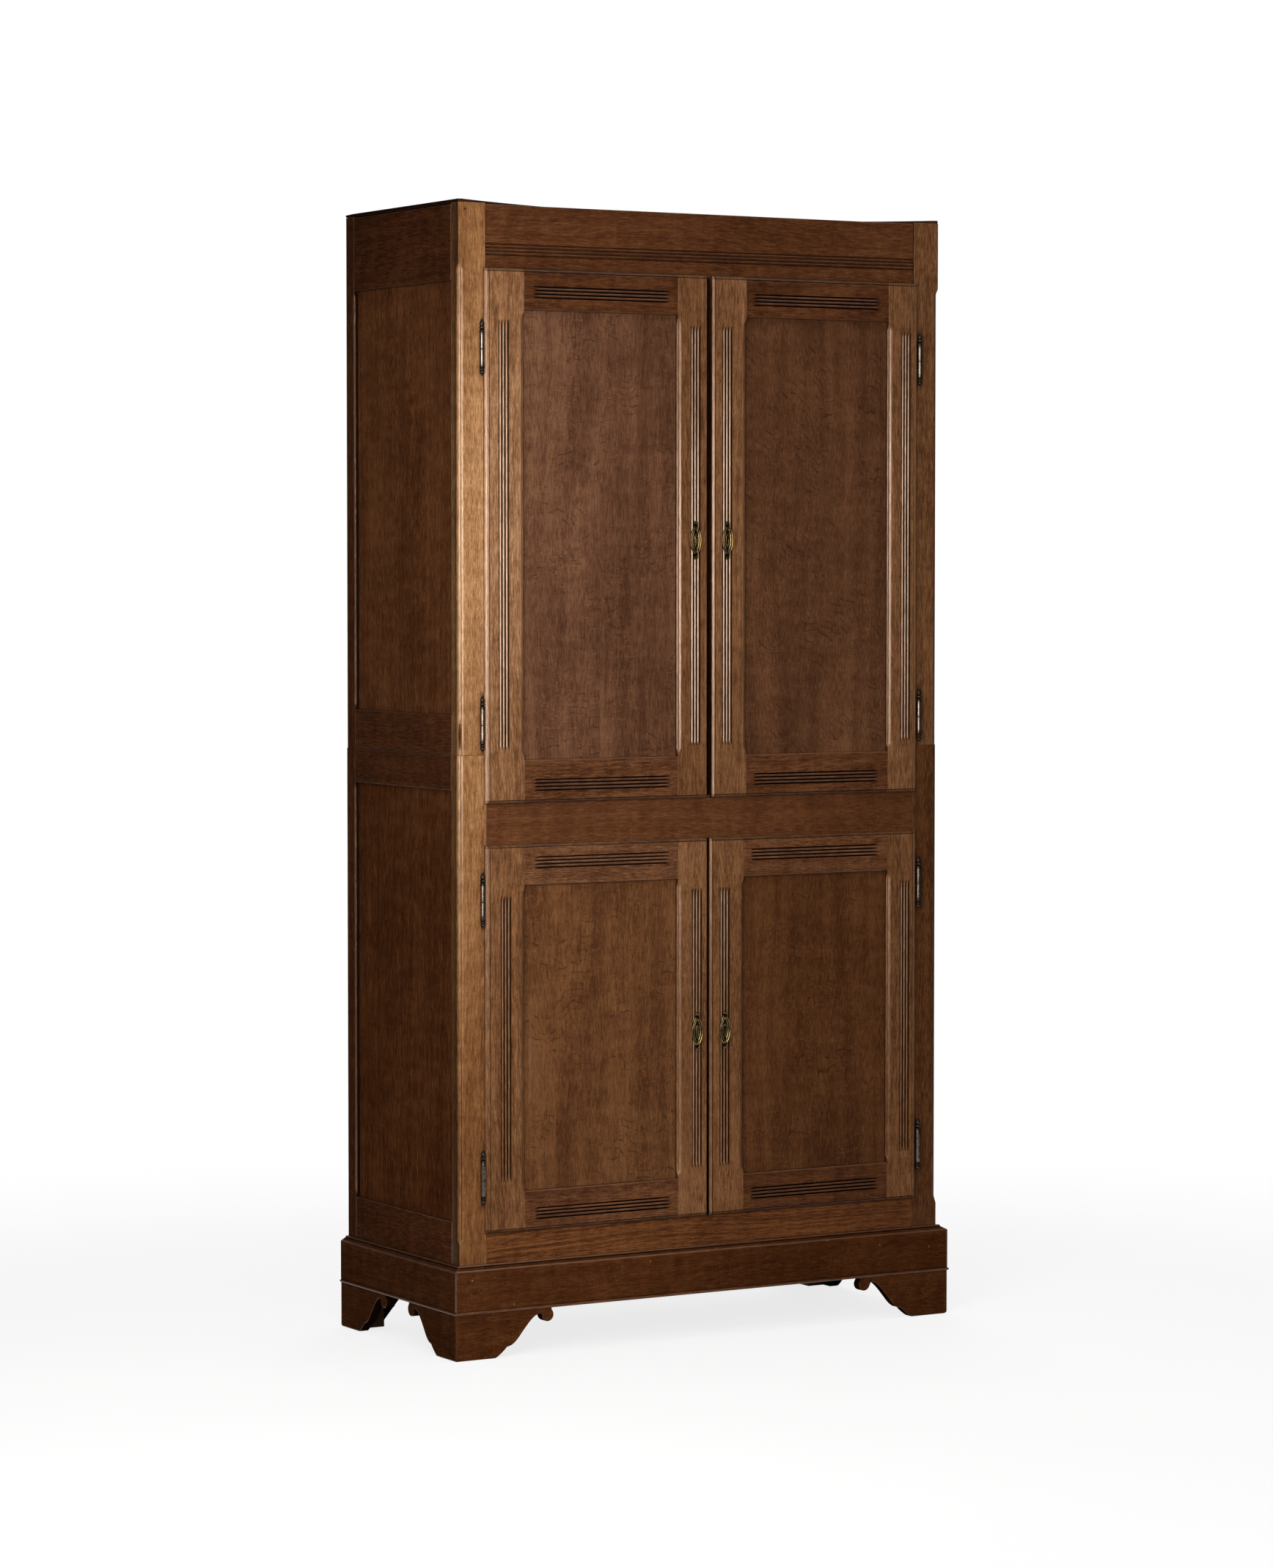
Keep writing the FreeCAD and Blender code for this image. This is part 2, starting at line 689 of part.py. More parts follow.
nodes.append(carved(middle_rail, [keeper_hole(upper_left_meeting, middle_z[1], -1),
                                  keeper_hole(lower_left_meeting, middle_z[0], 1)], "middle_rail"))
lowest_rail = front_rail("bottom_rail_blank", front, rail_thickness, bottom_z)
nodes.append(carved(lowest_rail, [keeper_hole(lower_left_meeting, bottom_z[1], -1)], "bottom_rail"))
nodes.append(side_rails("upper", upper_half, upper_side_top_z, upper_side_bottom_z,
                        bottom_dowels=seam_height))
nodes.append(side_rails("lower", half, lower_side_top_z, lower_side_bottom_z,
                        top_dowels=seam_height - dowel_length / 2))
nodes.append(side_panels("upper", upper_half, upper_side_top_z, upper_side_bottom_z))
nodes.append(side_panels("lower", half, lower_side_top_z, lower_side_bottom_z))
nodes.append(back_boards("upper", (seam_height, post_top - frieze_drop)))
nodes.append(back_boards("lower", (foot_height, seam_height)))
locating = [joined([lower, upper]) for side in (LEFT, RIGHT)
            for lower, upper in zip(dowels(side, seam_height - dowel_length / 2), dowels(side, seam_height))]
nodes.append(group("locating_dowels", locating))
nodes.append(top_board())
ceiling_z = (post_top - ceiling_drop, post_top - ceiling_drop + board_thickness)
nodes.append(fitted_board("upper_ceiling", upper_half, frieze_face + rail_thickness, ceiling_z))
nodes.append(fitted_board("upper_floor", upper_half, inner_rail_y[1], (sill_z[1] - board_thickness, sill_z[1])))
nodes.append(fitted_board("lower_top", half, inner_rail_y[1], (seam_height - board_thickness, seam_height)))
nodes.append(fitted_board("lower_floor", half, front + rail_thickness,
                          (bottom_z[1] - board_thickness, bottom_z[1])))


# ---------------------------------------------------------------- shelves

def shelf(outer, height):
    return fitted_board("shelf_board", outer, front + shelf_set_back, (height, height + board_thickness))


def cleats(outer, height):
    far = outer - side_thickness
    return [box(across(side, far - cleat_side, far), (front_post_y[1], rear_post_y[0]),
                (height - cleat_side, height)) for side in (LEFT, RIGHT)]


upper_shelf_heights = [first_shelf + shelf_pitch * number for number in range(3)]
nodes.append(group("upper_shelves", [shelf(upper_half, height) for height in upper_shelf_heights]))
lower_shelf = shelf(half, lower_shelf_height)
lower_shelf.Label = "lower_shelf"
nodes.append(lower_shelf)
all_cleats = cleats(half, lower_shelf_height)
for shelf_height in upper_shelf_heights:
    all_cleats += cleats(upper_half, shelf_height)
nodes.append(group("shelf_cleats", all_cleats))


# ---------------------------------------------------------------- plinth and feet

reach = plinth_projection + plinth_bead
corner_y = front - reach


def mitre(side, turn):
    """A block that takes an end off at 45 degrees from the plinth's outermost front corner."""
    big = as_size(80)
    x = side * (half + reach)
    return box((x, x + big), (corner_y, corner_y + big), (as_size(-1), plinth_top + 1), turn)


def side_mitre(side):
    return mitre(side, -45.0 if side == LEFT else 135.0)


def plinth_section(sketch, way):
    """Plinth moulding, outwards from the case: bead, face, bevel and a narrow flat on top."""
    height = plinth_top - foot_height
    points = [(0, 0), (plinth_projection, 0), (plinth_projection, plinth_bead_height),
              (plinth_projection, height - plinth_bevel_height), (plinth_bevel_flat, height), (0, height)]
    bead = (plinth_bead_height * plinth_bead_height / 4 + plinth_bead * plinth_bead) / (plinth_bead * 2)
    outline(sketch, [(way * as_size(x), y) for x, y in points], {1: bead * way})


def plinth_front():
    """The front board: its section runs along X."""
    body = new_body("plinth_front_blank", -half - reach, front, foot_height)
    sketch = sketch_on(body, "YZ_Plane")
    plinth_section(sketch, -1)
    pad(body, sketch, (half + reach) * 2)
    return carved(body, [mitre(LEFT, 45.0), mitre(RIGHT, 45.0)], "plinth_front_board")


def plinth_side(side):
    """A side board: its section runs along Y."""
    body = new_body("plinth_side_blank", side * half, corner_y, foot_height)
    sketch = sketch_on(body, "XZ_Plane")
    plinth_section(sketch, side)
    pad(body, sketch, back - corner_y, reverse=True)
    return carved(body, [side_mitre(side)])


nodes.append(plinth_front())
nodes.append(group("plinth_side_boards", [plinth_side(side) for side in (LEFT, RIGHT)]))


def bracket_outline(sketch, way, length):
    """A bracket's face: heel, cove, ogee slope, flat and a scroll that drops at the inner end."""
    scale = length / bracket_length
    far = length * way
    heel = bracket_heel * scale

    def point(along, height):
        return (way * along, as_size(height))
    points = [point(0, 0), point(heel, 0), point(heel + bracket_cove, bracket_cove),
              point(heel + bracket_cove + 14 * scale, bracket_cove + 3),
              point(heel + bracket_cove + 33 * scale, foot_height * 0.53),
              point(heel + bracket_cove + 52 * scale, foot_height * 0.77),
              point(length - bracket_scroll * 2.05, foot_height * 0.81),
              point(length - 0.6, foot_height * 0.87), (far, foot_height), point(0, foot_height)]
    outline(sketch, points, {1: bracket_cove * -1.05 * way, 3: 20.0 * way, 4: -28.0 * way,
                             6: (bracket_scroll + 0.9) * way})


def front_bracket(side):
    """The front half of a front foot, mitred at the corner."""
    body = new_body("bracket_blank", side * (half + plinth_projection), front - plinth_projection, 0)
    sketch = sketch_on(body, "XZ_Plane")
    bracket_outline(sketch, -side, bracket_length)
    pad(body, sketch, bracket_thickness, reverse=True)
    return body


def side_bracket(side, at_front):
    """The side half of a foot, from the front corner backwards or from the back forwards."""
    start = front - plinth_projection if at_front else back
    body = new_body("bracket_blank", side * (half + plinth_projection), start, 0)
    sketch = sketch_on(body, "YZ_Plane")
    bracket_outline(sketch, 1 if at_front else -1, side_bracket_length)
    pad(body, sketch, bracket_thickness, reverse=side == RIGHT)
    return body


def back_bracket(side):
    """The plain sloping brace behind a rear foot."""
    inner = side * (half + plinth_projection - bracket_thickness)
    body = new_body("bracket_blank", inner, back - bracket_thickness, 0)
    sketch = sketch_on(body, "XZ_Plane")
    points = [(0, 0), (back_bracket_length / 2, 0), (back_bracket_length, foot_height * 0.8),
              (back_bracket_length, foot_height), (0, foot_height)]
    outline(sketch, [(-side * as_size(x), z) for x, z in points])
    pad(body, sketch, bracket_thickness, reverse=True)
    return body


def foot_mitre(side, turn):
    """The mitre between two brackets, whose faces stand flush with the plinth's face."""
    x = side * (half + plinth_projection)
    y = front - plinth_projection
    big = as_size(80)
    return box((x, x + big), (y, y + big), (as_size(-1), foot_height + 1), turn)


front_feet = []
rear_feet = []
blocks = []
for side in (LEFT, RIGHT):
    front_feet.append(carved(front_bracket(side), [foot_mitre(side, 45.0)]))
    front_feet.append(carved(side_bracket(side, True), [foot_mitre(side, -45.0 if side == LEFT else 135.0)]))
    rear_feet += [side_bracket(side, False), back_bracket(side)]
    inner = half + plinth_projection - bracket_thickness
    block_x = across(side, inner - block_side, inner)
    block_z = (block_clearance, foot_height)
    block_front = front - plinth_projection + bracket_thickness
    blocks.append(box(block_x, (block_front, block_front + block_side), block_z))
    blocks.append(box(block_x, (back - bracket_thickness - block_side, back - bracket_thickness), block_z))
nodes.append(group("front_bracket_feet", front_feet))
nodes.append(group("rear_bracket_feet", rear_feet))
nodes.append(group("foot_glue_blocks", blocks))


# ---------------------------------------------------------------- doors

def member_section(width, edge):
    """A door member's section: outer edge at x = 0, face at y = 0, panel groove in the inner edge.

    edge is lipped (moulded lip, rebated back), moulded (no rebate) or plain (square).
    """
    groove = (door_panel_recess, door_panel_recess + panel_thickness)
    inner = [(width, 0), (width, groove[0]), (width - groove_depth, groove[0]),
             (width - groove_depth, groove[1]), (width, groove[1]), (width, door_thickness)]
    if edge == "plain":
        return [(as_size(0), as_size(0))] + inner + [(as_size(0), door_thickness)], {}
    points = [(as_size(0), lip_thickness - lip_edge), (lip_round_width, lip_quirk), (lip_round_width, 0)]
    points += inner
    if edge == "lipped":
        points += [(body_inset, door_thickness), (body_inset, lip_back), (as_size(0), lip_back)]
    else:
        points.append((as_size(0), door_thickness))
    return points, {0: lip_round_radius}


def door_member(label, x, z, turn, width, length, edge, reed_middle, reed_stop, rail):
    """A stile, or a rail with tongues, upright in its own frame and then turned about Y."""
    body = new_body(label, x, door_face, z, turn)
    section = sketch_on(body, "XY_Plane")
    points, arcs = member_section(width, edge)
    outline(section, points, arcs)
    pad(body, section, length)
    if rail:
        tongue = sketch_on(body, "XY_Plane", -groove_depth)
        rectangle(tongue, (body_inset, width - groove_depth),
                  (door_panel_recess, door_panel_recess + panel_thickness))
        pad(body, tongue, length + groove_depth * 2)
    moulding = sketch_on(body, "XY_Plane", length - reed_stop[1] - moulding_stop + stile_reed_stop)
    outline(moulding, [(width - moulding_width, 0), (width, 0), (width, moulding_depth),
                       (width - moulding_fillet, moulding_depth)], {3: -moulding_radius})
    pocket(body, moulding, length - reed_stop[0] - reed_stop[1] - (moulding_stop - stile_reed_stop) * 2)
    reeds = sketch_on(body, "XY_Plane", length - reed_stop[1])
    reed_grooves(reeds, reed_middle)
    pocket(body, reeds, length - reed_stop[0] - reed_stop[1])
    if not rail:
        stile_ends(body, length)
    return body


def stile_ends(body, length):
    """The lip and its moulding across both ends of a stile."""
    sketch = sketch_on(body, "YZ_Plane")
    rebate = (lip_back, door_thickness + 1)
    rectangle(sketch, rebate, (-1, body_inset))
    rectangle(sketch, rebate, (length - body_inset, length + 1))
    drop = lip_thickness - lip_edge
    rise = lip_round_width - lip_quirk
    for end, way in ((as_size(0), 1), (length, -1)):
        outline(sketch, [(-1, end - way), (drop, end - way), (drop, end), (as_size(0), end + rise * way),
                         (-1, end + rise * way)], {2: lip_round_radius * -way})
    pocket(body, sketch)


def door(name, hinge_side, meeting, z, rails, lock_height):
    """The wooden parts of one door, and its lock plate; rails gives the top and bottom rail heights."""
    outer = hinge_side * (opening_side + lip_overlap)
    x = (outer, meeting) if hinge_side == LEFT else (meeting, outer)
    left_door = hinge_side == LEFT
    left_width = left_hinge_stile if left_door else right_meeting_stile
    right_width = left_meeting_stile if left_door else right_hinge_stile
    top_rail, bottom_rail = rails
    height = z[1] - z[0]
    stile_stop = (bottom_rail + stile_reed_stop, top_rail + stile_reed_stop)
    left_reeds = reed_offsets[name, "left_stile"]
    right_reeds = reed_offsets[name, "right_stile"]
    left_stile = door_member(f"{name}_left_stile", x[0], z[0], 0.0, left_width, height,
                             "lipped" if left_door else "moulded", left_reeds, stile_stop, False)
    right_stile = door_member(f"{name}_right_stile", x[1], z[1], 180.0, right_width, height,
                              "plain" if left_door else "lipped", right_reeds,
                              (stile_stop[1], stile_stop[0]), False)
    joint = (x[0] + left_width, x[1] - right_width)
    run = joint[1] - joint[0]
    stop = (rail_reed_stop, rail_reed_stop)
    top = door_member(f"{name}_top_rail", joint[0], z[1], 90.0, top_rail, run, "lipped",
                      reed_offsets[name, "top_rail"], stop, True)
    bottom = door_member(f"{name}_bottom_rail", joint[1], z[0], -90.0, bottom_rail, run, "lipped",
                         reed_offsets[name, "bottom_rail"], stop, True)
    reach_in = groove_depth - panel_slack
    panel_y = (door_face + door_panel_recess, door_face + door_panel_recess + panel_thickness)
    panel = box((joint[0] - reach_in, joint[1] + reach_in), panel_y,
                (z[0] + bottom_rail - reach_in, z[1] - top_rail + reach_in))
    panel.Label = f"{name}_panel"
    if left_door:
        plate_x = meeting - right_reeds
        right_stile = carved(right_stile, bolt_bores(name, meeting, z))
    else:
        plate_x = meeting + left_reeds
        left_stile = carved(left_stile, keyhole(plate_x, door_face - 1, lock_height, door_thickness + 2))
    stiles = group(f"{name}_stiles", [hinged(left_stile, name, hinge_side, left_door),
                                      hinged(right_stile, name, hinge_side, not left_door)])
    return [stiles, group(f"{name}_rails", [top, bottom]), panel,
            lock_plate(f"{name}_lock_plate", plate_x, lock_height)]


def hinged(stile, name, side, has_hinges):
    """The hinge stile gets a slot for each hinge leaf."""
    if not has_hinges:
        return stile
    heights = upper_hinges if name.startswith("upper") else lower_hinges
    return carved(stile, [door_leaf(side, z, opening_side + lip_overlap) for z in heights])


def keyhole(x, y, z, depth):
    """A keyhole through a thickness: a round eye over a slot."""
    return [round_bar(x, y, z + keyhole_height / 2 - keyhole_radius, keyhole_radius, depth, axis="y"),
            box((x - keyhole_slot / 2, x + keyhole_slot / 2), (y, y + depth),
                (z - keyhole_height / 2, z + keyhole_height / 2 - keyhole_radius))]


def lock_plate(label, x, z):
    """The brass plate: a pointed oval with a raised rim and a pin tab at each end."""
    body = new_body(label + "_blank", x, door_face - plate_thickness, z)
    tall = plate_height / 2
    wide = plate_width / 2
    flank = (tall * tall + wide * wide) / (wide * 2)
    sheet_metal = sketch_on(body, "XZ_Plane")
    outline(sheet_metal, [(0, -tall), (0, tall)], {0: flank, 1: flank})
    pad(body, sheet_metal, plate_thickness, reverse=True)
    rim = sketch_on(body, "XZ_Plane")
    inner_tall = tall - plate_rim * 2.6
    inner_wide = wide - plate_rim
    inner_flank = (inner_tall * inner_tall + inner_wide * inner_wide) / (inner_wide * 2)
    outline(rim, [(0, -tall), (0, tall)], {0: flank, 1: flank})
    outline(rim, [(0, -inner_tall), (0, inner_tall)], {0: inner_flank, 1: inner_flank})
    pad(body, rim, plate_rim)
    pieces = [body]
    for way in (-1, 1):
        pieces.append(round_bar(x, door_face - plate_thickness, z + way * tall, plate_tab_radius,
                                plate_thickness, axis="y"))
    hole = keyhole(x, door_face - plate_thickness - plate_rim - 1, z, plate_thickness + plate_rim + 2)
    return carved(joined(pieces), hole, label)


def bolt_place(meeting, z, way, long_bolt=False):
    """Where a door bolt lies at rest: its x, y, lower end and length."""
    length = long_door_bolt_length if long_bolt else door_bolt_length
    if way > 0:
        low = z[1] - body_inset - door_bolt_tip - length
    else:
        low = z[0] + body_inset + door_bolt_tip
    return meeting - door_bolt_inset, front + door_bolt_depth, low, length


def thumb_height(low, length, way):
    """The thumb pin sits near the end of the bolt that stays in the door."""
    return low + 8 if way > 0 else low + length - 8


def bolt_bores(name, meeting, z):
    """The bores and thumb slots for the two bolts in a left door's meeting stile."""
    tools = []
    for way in (1, -1):
        x, y, low, length = bolt_place(meeting, z, way, way < 0 and name.startswith("upper"))
        start = low - 1 if way > 0 else low - door_bolt_tip - 1
        tools.append(round_bar(x, y, start, door_bolt_radius + running_fit, length + door_bolt_tip + 2))
        thumb = thumb_height(low, length, way)
        slack = thumb_radius + thumb_play
        travel = (thumb - slack, thumb + slack + door_bolt_throw) if way > 0 else \
            (thumb - slack - door_bolt_throw, thumb + slack)
        tools.append(box((x - slack, x + slack), (y, door_back + 1), travel))
    return tools


def door_bolt(label, meeting, z, way, long_bolt):
    x, y, low, length = bolt_place(meeting, z, way, long_bolt)
    thumb = round_bar(x, y, thumb_height(low, length, way), thumb_radius, thumb_reach, axis="y")
    return joined([round_bar(x, y, low, door_bolt_radius, length), thumb], label)


def lock_bolt_ranges(meeting, lock_height, play=0.0):
    x = (meeting + 1, meeting + 1 + lock_bolt_length)
    y = door_back + lock_bolt_stand_off
    return ((x[0], x[1] + play * 20), (y - play, y + lock_bolt_thickness + play),
            (lock_height - lock_bolt_height / 2 - play, lock_height + lock_bolt_height / 2 + play))


def lock(name, meeting, lock_height):
    """A rim lock on the back of a right door: its case, hollow for the bolt, and the sliding bolt."""
    shell = box((meeting + 1, meeting + 1 + lock_width), (door_back, door_back + lock_thickness),
                (lock_height - lock_case_height / 2, lock_height + lock_case_height / 2))
    cavity = box(*lock_bolt_ranges(meeting, lock_height, running_fit))
    case = carved(shell, [cavity], f"{name}_lock_case")
    bolt = box(*lock_bolt_ranges(meeting, lock_height))
    bolt.Label = f"{name}_lock_bolt"
    return [case, bolt]


upper_z = (upper_door_bottom, upper_door_top)
lower_z = (lower_door_bottom, lower_door_top)
upper_rails = (upper_top_rail, upper_bottom_rail)
lower_rails = (lower_top_rail, lower_bottom_rail)
doors = (("upper_left_door", LEFT, upper_left_meeting, upper_z, upper_rails, upper_lock_height),
         ("upper_right_door", RIGHT, upper_right_meeting, upper_z, upper_rails, upper_lock_height),
         ("lower_left_door", LEFT, lower_left_meeting, lower_z, lower_rails, lower_lock_height),
         ("lower_right_door", RIGHT, lower_right_meeting, lower_z, lower_rails, lower_lock_height))
case_knuckles = []
for name, side, meeting, z, rails, height in doors:
    nodes += door(name, side, meeting, z, rails, height)
    heights = upper_hinges if name.startswith("upper") else lower_hinges
    nodes.append(group(f"{name}_hinge_halves", [door_knuckle(side, hinge_z, name) for hinge_z in heights]))
    case_knuckles += [case_knuckle(side, hinge_z, name) for hinge_z in heights]
    if side == RIGHT:
        nodes += lock(name, meeting, height)
    else:
        long_bolt = name.startswith("upper")
        nodes.append(door_bolt(f"{name}_top_bolt", meeting, z, 1, False))
        nodes.append(door_bolt(f"{name}_bottom_bolt", meeting, z, -1, long_bolt))
nodes.append(group("case_hinge_halves", case_knuckles))


# ---------------------------------------------------------------- check and write

doc.recompute()
for item in doc.Objects:
    if "Invalid" in item.State or "Error" in item.State:
        raise RuntimeError(f"{item.Name} ({item.Label}) did not build: {item.State}")
for node in nodes:
    if node.Shape.isNull() or not node.Shape.isValid():
        raise RuntimeError(f"{node.Label} has no valid shape")
for node in nodes:
    node.Shape.exportStep(os.path.join("parts", node.Label + ".step"))
print(len(nodes), "nodes written")
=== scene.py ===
"""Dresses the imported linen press: moulded boards, hinges, lock plates, finishes, studio light and camera.

Lengths are in millimetres until a mesh is made, in the same frame as the solids: +X to the right along
the front, +Y to the back, +Z up, the origin on the floor under the middle of the press.
"""

import math

import bpy
import numpy as np
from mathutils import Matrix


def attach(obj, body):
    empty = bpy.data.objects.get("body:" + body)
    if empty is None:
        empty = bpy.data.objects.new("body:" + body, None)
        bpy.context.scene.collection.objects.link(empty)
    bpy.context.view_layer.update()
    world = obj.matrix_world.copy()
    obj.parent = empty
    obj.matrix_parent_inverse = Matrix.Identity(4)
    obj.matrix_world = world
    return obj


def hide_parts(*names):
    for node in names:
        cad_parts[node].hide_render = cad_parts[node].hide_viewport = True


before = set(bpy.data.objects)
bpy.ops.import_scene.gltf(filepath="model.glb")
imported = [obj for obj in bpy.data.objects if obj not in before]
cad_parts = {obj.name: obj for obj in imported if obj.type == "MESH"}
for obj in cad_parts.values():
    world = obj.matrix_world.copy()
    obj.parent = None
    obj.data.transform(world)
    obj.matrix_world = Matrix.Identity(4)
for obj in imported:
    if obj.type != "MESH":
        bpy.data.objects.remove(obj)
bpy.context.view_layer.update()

MM = 0.001
TURN = 2 * math.pi
HALF, UPPER_HALF, OPENING = 498.0, 496.8, 443.6
FRONT, BACK = -204.2, 221.8
POST_BACK, REAR_POST_FRONT = -176.5, 190.8
SEAM, TOP, RAIL_TOP, FOOT = 1049.0, 2000.0, 1998.0, 80.0
DOOR_FACE, DOOR_THICK, LIP_SIDE = -211.5, 22.0, 448.8
LIP_BACK, REBATE = 7.0, 6.4
PANEL_DEPTH, PANEL_THICK, TONGUE_IN = 8.0, 7.0, 1.5
PLINTH_OUT, PLINTH_BEAD, BRACKET_THICK = 15.4, 2.2, 18.0
HINGE_X, HINGE_Y = 453.8, -209.2
BOLT_INSET, BOLT_HALF, BOLT_ROOM = 14.0, 3.8, -199.1
RIGHT, BACKWARD, UP = np.eye(3)


# ---------------------------------------------------------------- numbers over whole arrays

def ease(value):
    """Rises from 0 to 1 with level ends: 3t^2 - 2t^3, with t held between 0 and 1."""
    t = np.clip(value, 0, 1)
    return t * t * (3 - 2 * t)


def wander(u, v, seed, across=160, along=420):
    """A slow wave from 0 to 1: the mean of seven sines, each with its own slant, pitch and start."""
    draw = np.random.default_rng(seed)
    slant = draw.normal(0, 1, (7, 2)) * (TURN / across, TURN / along)
    start = draw.uniform(0, TURN, 7)
    phase = u[..., None] * slant[:, 0] + v[..., None] * slant[:, 1] + start
    return 0.5 + 0.5 * np.sin(phase).mean(-1)


def stations(*parts):
    """Sorted places along an edge, with those nearer than a fiftieth of a millimetre dropped."""
    places = np.unique(np.concatenate([np.atleast_1d(part) for part in parts]))
    return places[np.diff(places, append=places[-1] + 1) > 0.02]


def spaced(start, end, step):
    """Even places from start to end, no further apart than step."""
    return np.linspace(start, end, max(2, math.ceil(abs(end - start) / step) + 1))


def both_sides(*places, gap=0.05):
    """Grid lines just before and just after each place, so that a step there is crisp."""
    return np.add.outer(places, (-gap, gap)).ravel()


def evenly(line, count, closed=False):
    """count points evenly spaced by length along a line, or all round it if it is closed."""
    if closed:
        line = np.concatenate([line, line[:1]])
    run = np.concatenate([[0], np.cumsum(np.hypot(*np.diff(line, axis=0).T))])
    at = np.linspace(0, run[-1], count, endpoint=not closed)
    return np.column_stack([np.interp(at, run, line[:, 0]), np.interp(at, run, line[:, 1])])


def stacked(*parts):
    """Arrays or numbers side by side along a new last axis."""
    return np.stack(np.broadcast_arrays(*parts), -1)


def bow(start, end, rise, grime=0):
    """Rubbed knots from start to end: the straight way plus a parabola of the given rise to the outside."""
    start, way = np.array(start), np.subtract(end, start)
    outwards = np.array([way[1], -way[0]]) / np.hypot(*way)
    t = np.linspace(0, 1, 7)[:, None]
    return np.column_stack([start + way * t + outwards * (4 * rise * t * (1 - t)), grime + 0 * t, 1 + 0 * t])


class Moulding:
    """A section given by knots of distance, depth below the face, grime with painted shade, and wear;
    straight between them.
    """

    def __init__(self, *parts):
        self.place, self.depth, self.grime, self.worn = np.concatenate(parts).T

    def at(self, distance, scale=1.0):
        """Depth, grime with painted shade, and wear at a distance from the edge, with the whole section
        shrunk by scale.
        """
        scale = np.clip(scale, 1e-4, 1)
        return [scale * np.interp(distance / scale, self.place, row)
                for row in (self.depth, self.grime, self.worn)]


def deepest(layers):
    """Of several cuts into one face, the deepest at each point, with its wear and the most grime and painted
    shade.
    """
    depth, grime, worn = (np.stack(rows) for rows in zip(*layers))
    return depth.max(0), grime.max(0), np.take_along_axis(worn, depth.argmax(0)[None], 0)[0]


# ---------------------------------------------------------------- mesh from points

def grid_faces(index, around=False):
    """Quads between neighbours of a grid of point numbers; around joins the last column to the first."""
    if around:
        index = np.concatenate([index, index[:, :1]], axis=1)
    return stacked(index[:-1, :-1], index[:-1, 1:], index[1:, 1:], index[1:, :-1]).reshape(-1, 4)


def ribbon(near, far):
    """Quads between two closed lines of point numbers."""
    return stacked(near, far, np.roll(far, -1), np.roll(near, -1))


def signed_volume(points, faces):
    """Volume inside closed faces: the sum of the tetrahedra from the origin to each face's fan."""
    total = 0
    for face in faces:
        a = points[face[:, 0]]
        for k in range(1, face.shape[1] - 1):
            total += np.einsum("ij,ij->", a, np.cross(points[face[:, k]], points[face[:, k + 1]])) / 6
    return total


def piece(name, shells, material, slot, *nodes, body="case", sharp=34):
    """One object from closed shells of (points, faces, grain, finish); each shell is turned outwards."""
    loops, sizes, start = [], [], 0
    for points, faces, *_ in shells:
        inside_out = signed_volume(points - points.mean(0), faces) < 0
        for face in faces:
            loops.append(((face[:, ::-1] if inside_out else face) + start).ravel())
            sizes.append(np.full(len(face), face.shape[1]))
        start += len(points)
    loops, sizes = np.concatenate(loops), np.concatenate(sizes)
    points, grain, finish = (np.concatenate([shell[k] for shell in shells]) for k in (0, 2, 3))
    mesh = bpy.data.meshes.new(name)
    mesh.vertices.add(len(points))
    mesh.vertices.foreach_set("co", (points * MM).astype(np.float32).ravel())
    mesh.loops.add(len(loops))
    mesh.loops.foreach_set("vertex_index", loops.astype(np.int32))
    mesh.polygons.add(len(sizes))
    mesh.polygons.foreach_set("loop_start", (np.cumsum(sizes) - sizes).astype(np.int32))
    mesh.polygons.foreach_set("use_smooth", np.ones(len(sizes), bool))
    for key, rows in (("grain", grain), ("finish", finish)):
        layer = mesh.attributes.new(key, "FLOAT_VECTOR", "POINT")
        layer.data.foreach_set("vector", rows.astype(np.float32).ravel())
    mesh.update(calc_edges=True)
    mesh.validate()
    mesh.set_sharp_from_angle(angle=math.radians(sharp))
    mesh.materials.append(material)
    thing = bpy.data.objects.new(name, mesh)
    bpy.context.scene.collection.objects.link(thing)
    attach(thing, body)
    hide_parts(*nodes)


def slab(front, back):
    """A closed shell between two sheets over one grid; a sheet is its points, grain and finish."""
    rows, columns = front[0].shape[:2]
    near = np.arange(rows * columns).reshape(rows, columns)
    rim = np.concatenate([near[0, :-1], near[:-1, -1], near[-1, :0:-1], near[:0:-1, 0]])
    faces = [grid_faces(near), grid_faces(near + near.size)[:, ::-1], ribbon(rim, rim + near.size)]
    points, grain, finish = (np.concatenate([a.reshape(-1, 3), b.reshape(-1, 3)])
                             for a, b in zip(front, back))
    return points, faces, grain, finish


def in_log(seed, *places):
    """Grain coordinates in metres; each seed cuts its board from another place in the log."""
    return stacked(*places) * MM + np.random.default_rng(seed + 1000).uniform(2, 40, 3)


def placed(origin, *moves):
    """Points at the origin, moved by each array of distances along its direction."""
    return sum((distance[..., None] * way for distance, way in moves), np.asarray(origin, float))


def arris(distance, radius, soil=0.85):
    """A rounded edge: the depth of a quarter circle, with grime and painted shade in the joint and polish on
    the round.
    """
    d = np.minimum(distance / radius, 1)
    depth = radius * (1 - np.sqrt(np.maximum(0, 1 - (1 - d) ** 2)))
    worn = np.where(distance < 0.05, 0, np.exp(-((distance - 0.55 * radius) / (0.5 * radius)) ** 2))
    return depth, soil * np.exp(-distance / (0.3 * radius)), 0.35 * worn


ROUND_STEPS = np.array([0, 0.12, 0.4, 0.75, 1, 1.6])


def along_board(amount, v):
    """A number, or a table {place along: amount} read straight between its rows, at every place v."""
    return np.interp(v, list(amount), list(amount.values())) if isinstance(amount, dict) else amount


